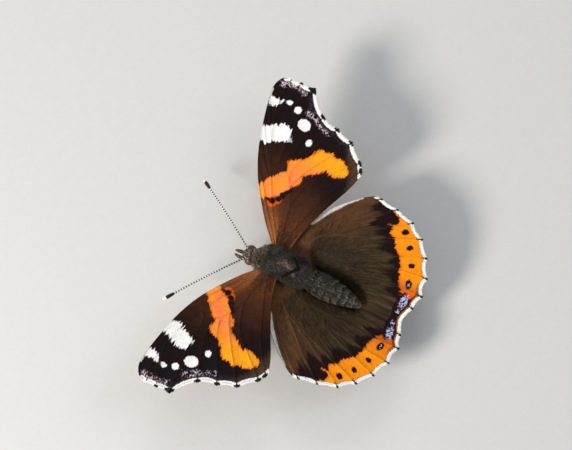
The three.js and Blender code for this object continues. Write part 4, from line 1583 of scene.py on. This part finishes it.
    def groove_shadow_coat(self, rng: Random) -> Coat:
        """Painted shadow: near-black tufts along the V-shaped groove behind the scutellum, laid on top of
        the fur, stand in for the groove's shade.
        """
        corners = np.array(GROOVE_CORNERS)
        share = np.linspace(0, 2, 620)
        line = np.stack([np.interp(share, range(3), column) for column in corners.T], axis=1)
        places = line + rng.normal(0, 0.06, line.shape)
        y = places[:, 1]
        centre, _, width, _, _ = self.section(y).T
        angle = np.arccos(np.clip((places[:, 0] - centre) / (width + 0.05), -1, 1))
        root = self.surface(y, angle, np.full(len(y), -0.36))
        out = self.normal(y, angle)
        along = square_to(np.column_stack([np.gradient(line, axis=0), np.zeros(len(y))]), out)
        length = rng.uniform(0.25, 0.45, len(y))
        unwrap = np.stack([angle / 6.3, (y + 6) / 22], axis=1) * 0.95 + 0.02
        widths = np.full(len(y), 0.24)
        return Coat("groove_scales", root, along, out, length, widths, np.zeros(len(y)), unwrap, rise=0.2)

    def head_coat(self, rng: Random) -> Coat:
        """Fur over the crown, the brow and the cheeks, which laps over the eyes' inner halves."""
        count = 4200
        points = unit(rng.normal(0, 1, (count, 3)))
        away = np.hypot(points[:, 1] + 0.05, points[:, 2])
        points = points[(np.abs(points[:, 0]) < 0.72) | (away > 0.98)]
        count = len(points)
        radii = np.array(self.head_radii) - self.head_sink
        out = unit(points / radii)
        lie = np.tile([0.0, 0.8, 0.1], (count, 1))
        lie[points[:, 1] < 0.2] = (0.0, -0.7, 0.35)
        over = (np.abs(points[:, 0]) > 0.3) & (points[:, 2] > -0.2)
        lie[over] += np.sign(points[over, :1]) * (0.9, 0.0, 0.0) + np.array([0.0, 0.0, 0.25])
        lie = square_to(lie + rng.normal(0, 0.3, (count, 3)), out)
        root = self.head_point(points * radii)
        origin = np.array(self.head_place)
        out = self.head_point(out) - origin
        lie = self.head_point(lie) - origin
        cheek = (points[:, 1] > 0.25) & (np.abs(points[:, 0]) > 0.3)
        tint = np.clip(rng.beta(0.75, 0.8, count) + 0.3 * cheek, 0, 1)
        turn = np.arctan2(points[:, 0], points[:, 1])
        unwrap = np.stack([turn / 6.5 + 0.5, points[:, 2] * 0.45 + 0.5], axis=1)
        length = rng.uniform(0.45, 0.95, count)
        widths = rng.uniform(0.05, 0.1, count)
        return Coat("head_fur", root, lie, out, length, widths, tint, unwrap * 0.95, rise=0.42)


def backwards(angle: Array) -> Array:
    """Straight back along the trunk."""
    return np.tile([0.0, 1.0, 0.0], (len(angle), 1))


def forwards(angle: Array) -> Array:
    """Forwards and a little outwards, round the neck."""
    return np.stack([0.25 * np.cos(angle), np.full(len(angle), -1.0), 0.25 * np.sin(angle)], axis=1)


def outwards(angle: Array) -> Array:
    """Outwards and back over the wings' roots."""
    aside = np.sign(np.cos(angle))
    return np.stack([aside * 1.0, np.full(len(angle), 0.45), np.full(len(angle), -0.1)], axis=1)


def thorax_tint(where: Array, angle: Array) -> Array:
    """Slate, with a brown and pale collar and a rusty streak down the middle."""
    x, y = where[:, 0], where[:, 1]
    top = np.sin(angle)
    tint = 0.34 + 0.1 * np.sin(2.2 * x + 0.8 * y)
    tint = np.where(top < -0.2, 0.6, tint)
    tint = tint + 0.3 * (1 - step(y, -4.6, -3.4))
    rust = 1 - step(np.hypot((x - 0.25 - 0.2 * y) / 0.9, (y + 0.2) / 2.1), 0.3, 1.1)
    tint = tint + np.where(top > 0, 0.34 * rust, 0)
    pale = np.hypot(x - 1.3, (y - 1.95) * 1.2) < 0.32
    return np.where(pale & (top > 0), 0.85, tint)


def shoulder_tint(where: Array, angle: Array) -> Array:
    """Slate hair over the wings' roots."""
    return np.full(len(where), 0.27)


def abdomen_tint(where: Array, angle: Array) -> Array:
    """Greenish grey in rings: dark at each segment's base and pale-edged towards the tail."""
    y = where[:, 1]
    share = ((y - ABDOMEN_FRONT) / ABDOMEN_LENGTH * ABDOMEN_RINGS + 0.12 * np.sin(4 * angle)) % 1.0
    edge = step(share, 0.6, 0.9) * step(y, 8.0, 12.0)
    tint = 0.27 + 0.1 * step(share, 0.2, 0.6) + 0.34 * edge - 0.14 * (1 - step(y, 5.0, 7.5))
    return tint + 0.3 * (np.sin(angle) < -0.35)


@dataclass(frozen=True)
class FurPatch:
    """Where some tufts grow on the trunk, and how they lie."""

    name: str
    span: Point2
    count: int
    length: Point2
    width: float
    rise: float
    tint: Callable[[Array, Array], Array]
    angles: Point2 = (0.0, 2 * math.pi)
    lie: Callable[[Array], Array] = backwards
    scatter: float = 0.22
    mottle: float = 0.15


THORAX_PATCH = FurPatch("thorax_fur", (-5.1, 3.9), 9500, (0.7, 1.35), 0.085, 0.4, thorax_tint, scatter=0.3)
COLLAR_PATCH = FurPatch(
    "collar_fur", (-5.3, -4.3), 1900, (0.7, 1.4), 0.07, 0.6, thorax_tint, lie=forwards, scatter=0.35
)
LEFT_TIPPET = (-0.5, 1.0)
RIGHT_TIPPET = (2.14, 3.64)
TIPPET_PATCHES = tuple(
    FurPatch(name, (-4.9, -2.4), 1500, (0.9, 1.7), 0.07, 0.5, thorax_tint, angles, outwards, 0.35)
    for name, angles in (("tippet_left", LEFT_TIPPET), ("tippet_right", RIGHT_TIPPET))
)
LEFT_SHOULDER = (-0.1, 1.0)
RIGHT_SHOULDER = (2.14, 3.24)
SHOULDER_PATCHES = tuple(
    FurPatch(name, (-2.8, 4.0), 2400, (0.9, 2.0), 0.07, 0.18, shoulder_tint, angles, outwards, 0.3)
    for name, angles in (("shoulder_left", LEFT_SHOULDER), ("shoulder_right", RIGHT_SHOULDER))
)
ABDOMEN_PATCH = FurPatch(
    "abdomen_coat", (4.3, 15.0), 10500, (0.28, 0.6), 0.09, 0.2, abdomen_tint, mottle=0.23
)


@dataclass(frozen=True)
class SkinFinish:
    """Dark horn under the fur, with scale rows on the abdomen."""

    def material(self) -> Material:
        """The skin's material."""
        graph = Graph("body_skin")
        behind = (graph.axis(1) - (ORIGIN[1] + ABDOMEN_FRONT)).rise(-0.2, 0.2)
        scales = graph.cells(graph.objects((7.0, 5.0, 7.0)))
        tone = graph.tones(graph.objects((7.0, 5.0, 7.0)))
        dark = graph.mix(tone, (0.01, 0.009, 0.007), (0.03, 0.026, 0.019))
        olive = graph.mix(tone, (0.02, 0.018, 0.011), (0.06, 0.056, 0.034))
        body = graph.mix(behind, dark, olive)
        return graph.finish(
            {
                "Base Color": body,
                "Roughness": 0.55 + tone * 0.2,
                "Specular IOR Level": 0.35,
                "Normal": graph.bump(scales * -1.0, 0.6, 0.06),
            }
        )


THORAX_FUR = FurFinish(
    "thorax_fur",
    (
        (0.0, (0.003, 0.003, 0.003)),
        (0.25, (0.036, 0.034, 0.03)),
        (0.5, (0.105, 0.09, 0.064)),
        (0.72, (0.17, 0.095, 0.052)),
        (0.95, (0.5, 0.42, 0.36)),
    ),
    sheen=0.12,
)
# Near-black tufts without sheen: painted shadow of the thorax's V-shaped groove.
GROOVE_SHADOW_FINISH = FurFinish(
    "groove",
    ((0.0, (0.0015, 0.0013, 0.0012)), (0.5, (0.002, 0.002, 0.002))),
    sheen=0.0,
)
ABDOMEN_FUR = FurFinish(
    "abdomen_scales",
    ((0.0, (0.005, 0.004, 0.003)), (0.4, (0.034, 0.032, 0.018)), (0.95, (0.4, 0.35, 0.28))),
    roughness=0.5,
)


# Head parts, antennae and legs


@dataclass
class Antenna:
    """A ringed shaft and a club with a cream tip."""

    side: Side
    trunk: Trunk
    tips: Mapping[Side, Point3] = field(
        default_factory=lambda: {Side.LEFT: (15.25, -17.15, 1.0), Side.RIGHT: (-9.0, -20.25, -2.0)}
    )
    socket: Point3 = (0.5, -0.42, 0.75)
    bow: float = 0.9
    shaft: float = 0.16
    club: float = 0.34
    club_share: Point2 = (0.82, 0.935)
    blunt_from: float = 0.93
    blunt_length: float = 0.07
    rings: int = 36
    ring_height: float = 0.012
    rings_end: float = 0.9
    slack: float = 1.005

    def ends(self) -> tuple[Array, Array]:
        """Its root on the brow and its tip, in the trunk frame."""
        aside, ahead, up = self.socket
        root = self.trunk.head_point(np.array([self.side.value * aside, ahead, up]))
        return root, np.array(self.tips[self.side])

    def length(self) -> float:
        """Its length, a little over the straight line because it bows."""
        root, tip = self.ends()
        return float(np.linalg.norm(tip - root)) * self.slack

    def build(self, material: Material) -> Piece:
        """The antenna as one piece."""
        base, tip = self.ends()
        shaft, club, end = np.linspace(0, 0.86, 150), np.linspace(0.863, 0.985, 40), [0.992, 0.997, 1.0]
        share = np.concatenate([shaft, club, end])
        path = base + share[:, None] * (tip - base)
        path[:, 2] += self.bow * 4 * share * (1 - share)
        swell = step(share, *self.club_share)
        radius = self.shaft + (self.club - self.shaft) * swell
        past = np.clip((share - self.blunt_from) / self.blunt_length, 0, 1)
        blunt = np.sqrt(np.clip(1 - past**2, 0.02, 1))
        rings = self.ring_height * np.cos(share * 2 * math.pi * self.rings) * (share < self.rings_end)
        radius = (radius + rings) * blunt
        node = f"antenna_{self.side.word}"
        mesh = bar_mesh(f"{node}_piece", path, radius, 16)
        return add_piece(f"{node}_piece", mesh, material, "antenna", [node])


@dataclass(frozen=True)
class AntennaFinish:
    """Black with white rings, an all-black club and a cream tip."""

    length: float
    rings_per_mm: float = 1.95
    white: Rgb = (0.9, 0.87, 0.8)
    black: Rgb = (0.008, 0.007, 0.006)
    cream: Rgb = (0.95, 0.8, 0.5)

    def material(self) -> Material:
        """The material, read from how far along the antenna a point lies."""
        graph = Graph("antenna_horn")
        along = graph.attribute("along")
        turn = (along * self.rings_per_mm).remainder()
        white = turn.rise(0.06, 0.12) * turn.rise(0.58, 0.52)
        strength = along.rise(self.length * 0.02, self.length * 0.5) * 0.45 + 0.55
        shaft = along.rise(self.length * 0.87, self.length * 0.86)
        body = graph.mix(white * strength * shaft, self.black, self.white)
        tip = along.rise(self.length * 0.958, self.length * 0.968)
        body = graph.mix(tip, body, self.cream)
        grain = graph.noise(graph.objects(9.0))
        return graph.finish(
            {
                "Base Color": graph.dim(body, grain * 0.6 + 0.7),
                "Roughness": grain * 0.3 + 0.35,
                "Specular IOR Level": 0.4,
                "Normal": graph.bump(grain, 0.4, 0.03),
            }
        )


@dataclass
class Eye:
    """A large dome of fine facets."""

    side: Side
    trunk: Trunk
    radii: Point3 = (0.9, 0.95, 0.96)
    place: Point3 = (0.98, -0.08, 0.0)

    def build(self, material: Material) -> Piece:
        """The eye as one closed dome, sunk in the head."""
        bm = bmesh.new()
        verts = bmesh.ops.create_icosphere(bm, subdivisions=5, radius=1.0)["verts"]
        middle = np.array([self.side.value * self.place[0], self.place[1], self.place[2]])
        for vert in verts:
            place = middle + np.array(vert.co) * np.array(self.radii)
            vert.co = Vector(to_row(self.trunk.head_point(place)))
        node = f"eye_{self.side.word}"
        mesh = as_mesh(f"{node}_dome", bm)
        shade_smooth(mesh)
        return add_piece(f"{node}_dome", mesh, material, "eye", [node])


@dataclass(frozen=True)
class EyeFinish:
    """Dark orange-brown with facets and a soft gloss."""

    def material(self) -> Material:
        """The eye's material."""
        graph = Graph("eye_facets")
        facets = graph.cells(graph.objects(16.0))
        cloud = graph.noise(graph.objects(0.8), 1.0, 2.0)
        body = graph.mix(cloud, (0.06, 0.014, 0.004), (0.25, 0.065, 0.009))
        brow = (graph.axis(2) - (STAND_HEIGHT + Trunk.head_place[2])).rise(0.5, 0.9)
        body = graph.mix(brow, body, (0.05, 0.02, 0.012))
        return graph.finish(
            {
                "Base Color": graph.dim(body, 1.15 - facets * 0.6),
                "Roughness": facets * 0.2 + 0.25,
                "Specular IOR Level": 0.5,
                "Normal": graph.bump(facets * -1.0, 0.35, 0.02),
            }
        )


# Each leg on the left side from the breast to the claws: x, y, z and radius
LEG_PATHS: dict[str, tuple[tuple[float, float, float, float], ...]] = {
    "foreleg": (
        (0.8, -4.3, -1.0, 0.3), (1.0, -4.8, -2.3, 0.3), (1.15, -5.6, -3.0, 0.28),
        (1.1, -6.4, -2.7, 0.25), (1.0, -7.0, -2.3, 0.2),
    ),
    "midleg": (
        (1.2, -1.6, -1.6, 0.42), (1.5, -1.9, -2.9, 0.42), (3.2, -3.1, -3.3, 0.38),
        (5.2, -4.5, -2.9, 0.33), (6.4, -5.4, -4.4, 0.28), (7.6, -6.3, -6.1, 0.27),
        (8.6, -7.2, -6.425, 0.26), (9.9, -8.3, -6.425, 0.25),
    ),
    "hindleg": (
        (1.1, 2.9, -1.3, 0.42), (1.35, 3.0, -2.8, 0.42), (2.9, 4.2, -3.7, 0.38),
        (4.7, 5.8, -3.9, 0.33), (5.6, 7.5, -5.0, 0.28), (6.5, 9.3, -6.15, 0.27),
        (7.2, 10.6, -6.425, 0.26), (8.0, 12.2, -6.425, 0.25),
    ),
}


@dataclass
class Leg:
    """One leg: thigh, shin and a foot of five short joints."""

    name: str
    side: Side
    foot_from: float = 0.74
    slimming: float = 0.82
    knees: tuple[float, ...] = (0.1, 0.42)
    knee_depth: float = 0.22
    knee_width: float = 0.018
    foot_joints: int = 5

    def build(self, horn: Material, fur: Material, rng: Random) -> None:
        """The leg as one piece whose joints are necked, with short bristles."""
        rows = np.array(LEG_PATHS[self.name])
        path = smooth_path(rows[:, :3], 120)
        walked = walked_lengths(path)
        share = walked / walked[-1]
        knots = walked_lengths(rows[:, :3])
        radii = np.interp(walked, knots / knots[-1] * walked[-1], rows[:, 3]) * self.slimming
        foot = share > self.foot_from
        joint = ((share - self.foot_from) / (1 - self.foot_from) * self.foot_joints) % 1.0
        radii = np.where(foot, radii * (0.66 + 0.34 * np.sin(math.pi * joint)), radii)
        for knee in self.knees:
            radii = radii * (1 - self.knee_depth * np.exp(-(((share - knee) / self.knee_width) ** 2)))
        path[:, 0] *= self.side.value
        node = f"{self.name}_{self.side.word}"
        mesh = bar_mesh(f"{node}_piece", path, radii, 14)
        co = np.empty(len(mesh.vertices) * 3, np.float32)
        mesh.vertices.foreach_get("co", co)
        co = co.reshape(-1, 3)
        co[:, 2] = np.maximum(co[:, 2], 0.0)
        mesh.vertices.foreach_set("co", co.ravel())
        mesh.update()
        piece = add_piece(f"{node}_piece", mesh, horn, "leg_scales", [node])
        shaggy = self.name == "foreleg"
        part = slice(0, 118) if shaggy else slice(0, 60)
        reach = (0.35, 0.75) if shaggy else (0.2, 0.42)
        coat = bar_coat(f"{piece.name}_scales", path[part], radii[part], 900, reach, 0.05, 0.3, rng)
        add_coat(coat, fur, "leg_scales")
        if not shaggy:
            shin = slice(52, 112)
            name = f"{piece.name}_spines"
            spines = bar_coat(name, path[shin], radii[shin], 260, (0.12, 0.26), 0.03, 0.5, rng)
            add_coat(spines, fur, "leg_scales")


@dataclass(frozen=True)
class LegFinish:
    """Fawn scales over brown horn."""

    def material(self) -> Material:
        """The leg's material."""
        graph = Graph("leg_scales")
        scales = graph.cells(graph.objects(8.0))
        tone = graph.tones(graph.objects(8.0))
        body = graph.mix(tone, (0.16, 0.11, 0.065), (0.38, 0.29, 0.19))
        return graph.finish(
            {
                "Base Color": body,
                "Roughness": tone * 0.25 + 0.45,
                "Specular IOR Level": 0.35,
                "Normal": graph.bump(scales * -1.0, 0.5, 0.04),
            }
        )


# The left palp in the head's frame: x, y, z and radius
PALP_PATH = (
    (0.45, -0.3, -0.6, 0.28), (0.52, -1.35, -0.85, 0.32), (0.5, -2.1, -0.5, 0.24), (0.41, -2.6, -0.03, 0.07),
)


@dataclass
class Mouthparts:
    """The palps in front of the face and the coiled proboscis."""

    trunk: Trunk
    bare: float = 0.82
    coil_turns: float = 1.2
    coil_start: float = -1.2
    coil_radius: float = 0.95
    coil_pitch: float = 0.62
    coil_centre: Point2 = (-0.9, -2.45)
    lead_from: Point3 = (0.0, 0.15, -0.75)
    tube_radii: Point2 = (0.17, 0.11)

    def palp(
        self,
        side: Side,
        horn: Material,
        fur: Material,
        rng: Random,
    ) -> None:
        """One palp as a curved, pointed bar under bristly scales."""
        rows = np.array(PALP_PATH)
        rows[:, 0] *= side.value
        path = smooth_path(self.trunk.head_point(rows[:, :3]), 40)
        radii = np.interp(np.linspace(0, 3, 40), range(4), rows[:, 3]) * self.bare
        node = f"palp_{side.word}"
        mesh = bar_mesh(f"{node}_piece", path, radii, 14)
        add_piece(f"{node}_piece", mesh, horn, "palp_scales", [node])
        coat = bar_coat(f"{node}_fur", path[4:], radii[4:], 1700, (0.22, 0.48), 0.055, 0.26, rng)
        add_coat(coat, fur, "palp_scales")

    def proboscis(self, material: Material) -> Piece:
        """The proboscis, coiled like a watch spring."""
        turn = np.linspace(0, self.coil_turns, 130)
        angle = self.coil_start + 2 * math.pi * turn
        radius = self.coil_radius - self.coil_pitch * turn
        y, z = self.coil_centre
        coil = np.stack([0 * turn, y - radius * np.sin(angle), z + radius * np.cos(angle)], axis=1)
        lead = np.linspace(self.lead_from, coil[0], 12)[:-1]
        path = self.trunk.head_point(np.vstack([lead, coil]))
        radii = np.linspace(*self.tube_radii, len(path))
        mesh = bar_mesh("proboscis_piece", path, radii, 12)
        return add_piece("proboscis_piece", mesh, material, "horn", ["proboscis"])


@dataclass(frozen=True)
class HornFinish:
    """Dark brown ringed horn."""

    rings_per_mm: float = 9.0

    def material(self) -> Material:
        """The proboscis's material."""
        graph = Graph("proboscis_horn")
        along = graph.attribute("along")
        turn = (along * self.rings_per_mm).remainder()
        grain = graph.noise(graph.objects(6.0))
        return graph.finish(
            {
                "Base Color": graph.mix(grain, (0.03, 0.016, 0.008), (0.09, 0.045, 0.02)),
                "Roughness": grain * 0.2 + 0.3,
                "Normal": graph.bump(turn.rise(0.3, 0.6), 0.4, 0.02),
            }
        )


PALP_FUR = FurFinish(
    "palp_fur",
    ((0.0, (0.02, 0.014, 0.01)), (0.5, (0.2, 0.145, 0.1)), (0.95, (0.8, 0.7, 0.62))),
)
HEAD_FUR = FurFinish(
    "head_fur",
    (
        (0.0, (0.012, 0.009, 0.007)),
        (0.35, (0.06, 0.05, 0.038)),
        (0.6, (0.24, 0.115, 0.06)),
        (0.95, (0.66, 0.52, 0.45)),
    ),
    sheen=0.1,
)


# Stage


@dataclass(frozen=True)
class Lamp:
    """A soft round light, in mm to the picture's right, up it and back towards the camera."""

    name: str
    right: float
    up: float
    back: float
    size: float
    power: float
    tint: Rgb


LAMPS = (
    Lamp("key", -300.0, -150.0, 300.0, 120.0, 2.15, (1.0, 0.96, 0.9)),
    Lamp("fill", 300.0, 180.0, 300.0, 300.0, 0.3, (0.92, 0.96, 1.0)),
    Lamp("back", 0.0, 350.0, 160.0, 200.0, 0.3, (1.0, 1.0, 1.0)),
)


@dataclass
class Stage:
    """The floor, the lights and the camera."""

    lean: float = 15.0
    tail: float = 3.0
    spin: float = 155.5
    distance: float = 450.0
    pixel: float = 0.18
    picture_width: int = 572
    aim_right: float = 0.8
    aim_up: float = 41.1
    floor_reach: float = 1500.0
    floor_gap: float = 0.02
    sky: Rgb = (0.92, 0.95, 1.0)
    sky_strength: float = 0.36

    def axes(self) -> tuple[Array, Array, Array]:
        """The camera's right, up and backward directions in the row frame."""
        spin, lean, tail = (math.radians(a) for a in (self.spin, self.lean, self.tail))
        forward = np.array([0.0, -1.0, 0.0])
        right = np.array([-1.0, 0.0, 0.0])
        across = math.cos(spin) * forward + math.cos(spin - math.pi / 2) * right
        upward = math.sin(spin) * forward + math.sin(spin - math.pi / 2) * right
        turn = Matrix.Rotation(lean, 3, "Y") @ Matrix.Rotation(-tail, 3, "X")
        turned = np.array(turn)
        return turned @ across, turned @ upward, turned @ np.array([0.0, 0.0, 1.0])

    def camera(self) -> Piece:
        """A long lens above the butterfly, turned as it lies in the picture."""
        across, upward, back = self.axes()
        data = bpy.data.cameras.new("camera")
        data.sensor_width = 36.0
        data.lens = data.sensor_width * self.distance / (self.picture_width * self.pixel)
        data.clip_start = 0.01
        data.clip_end = 10.0
        camera = bpy.data.objects.new("camera", data)
        bpy.context.scene.collection.objects.link(camera)
        place = ORIGIN + back * self.distance
        aim = ORIGIN + across * self.aim_right * self.pixel + upward * self.aim_up * self.pixel
        look = (place - aim) / np.linalg.norm(place - aim)
        side = np.cross(upward, look)
        side /= np.linalg.norm(side)
        top = np.cross(look, side)
        basis = Matrix((side, top, look)).transposed().to_4x4()
        camera.matrix_world = Matrix.Translation(Vector(place * MM)) @ basis
        bpy.context.scene.camera = camera
        return camera

    def light(self, lamp: Lamp) -> None:
        """Hangs one lamp, turned towards the butterfly."""
        across, upward, behind = self.axes()
        data = bpy.data.lights.new(lamp.name, "AREA")
        data.shape = "DISK"
        data.size = lamp.size * MM
        data.energy = lamp.power
        data.color = lamp.tint
        made = bpy.data.objects.new(lamp.name, data)
        bpy.context.scene.collection.objects.link(made)
        aside = across * lamp.right + upward * lamp.up + behind * lamp.back
        place = Vector((ORIGIN + aside) * MM)
        made.location = place
        made.rotation_mode = "QUATERNION"
        made.rotation_quaternion = (place - Vector(ORIGIN * MM)).to_track_quat("Z", "Y")

    def floor(self) -> Piece:
        """A wide pale floor just under the feet."""
        bm = bmesh.new()
        bmesh.ops.create_grid(bm, x_segments=8, y_segments=8, size=self.floor_reach * MM)
        bmesh.ops.translate(bm, vec=(0.0, 0.0, -self.floor_gap * MM), verts=bm.verts)
        mesh = as_mesh("floor", bm)
        graph = Graph("floor_paper")
        grain = graph.noise(graph.objects(0.6))
        tone = graph.mix(grain, (0.66, 0.655, 0.645), (0.7, 0.695, 0.685))
        looks = {"Base Color": tone, "Roughness": 0.9, "Specular IOR Level": 0.15}
        mesh.materials.append(graph.finish(looks))
        piece = as_object("floor", mesh)
        return piece

    def build(self) -> None:
        """The floor, the sky and three soft lights."""
        self.floor()
        for lamp in LAMPS:
            self.light(lamp)
        world = bpy.data.worlds.new("world")
        world.use_nodes = True
        sky = world.node_tree.nodes["Background"]
        sky.inputs["Color"].default_value = (*self.sky, 1.0)
        sky.inputs["Strength"].default_value = self.sky_strength
        bpy.context.scene.world = world
        bpy.context.scene.view_settings.view_transform = "Standard"


def add_coat(coat: Coat, material: Material, slot: str) -> Piece:
    """Makes a coat's piece and dresses it."""
    return add_piece(coat.name, coat.mesh(), material, slot)


def build_wings(rng: Random) -> None:
    """All four wings with their fringes and hair."""
    fringe = FRINGE_FINISH.material()
    fore_hair = FOREWING_HAIR.material()
    hind_hair = HINDWING_HAIR.material()
    for side in Side:
        fore = Forewing(side)
        hind = Hindwing(side)
        fore.build(ForewingFinish(side).material(), UndersideFinish(side, fore=True).material())
        hind.build(HindwingFinish(side).material(), UndersideFinish(side, fore=False).material())
        add_coat(fore.fringe_coat(rng), fringe, "forewing_scales")
        add_coat(hind.fringe_coat(rng), fringe, "hindwing_scales")
        add_coat(fore.hair_coat(rng), fore_hair, "forewing_scales")
        add_coat(hind.hair_coat(rng), hind_hair, "hindwing_scales")


def build_body(rng: Random) -> None:
    """The trunk with its coats, the head's parts and the legs."""
    trunk = Trunk()
    trunk.skin(SkinFinish().material())
    fur = THORAX_FUR.material()
    scales = ABDOMEN_FUR.material()
    for patch in (THORAX_PATCH, COLLAR_PATCH, *TIPPET_PATCHES, *SHOULDER_PATCHES):
        add_coat(trunk.coat(patch, rng), fur, "fur")
    # The V groove's painted shadow, laid over the thorax fur.
    add_coat(trunk.groove_shadow_coat(rng), GROOVE_SHADOW_FINISH.material(), "fur")
    add_coat(trunk.coat(ABDOMEN_PATCH, rng), scales, "abdomen_scales")
    add_coat(trunk.head_coat(rng), HEAD_FUR.material(), "fur")
    mouth = Mouthparts(trunk)
    palp = PALP_FUR.material()
    leg = LegFinish().material()
    eye = EyeFinish().material()
    mouth.proboscis(HornFinish().material())
    for side in Side:
        feeler = Antenna(side, trunk)
        feeler.build(AntennaFinish(feeler.length()).material())
        Eye(side, trunk).build(eye)
        mouth.palp(side, leg, palp, rng)
        for name in LEG_PATHS:
            Leg(name, side).build(leg, palp, rng)


def main() -> None:
    """Builds the butterfly and its stage."""
    logging.basicConfig(level=logging.INFO, format="%(message)s")
    stage = Stage()
    stage.camera()
    rng = np.random.default_rng(SEED)
    build_wings(rng)
    build_body(rng)
    stage.build()


if __name__ == "__main__":
    main()
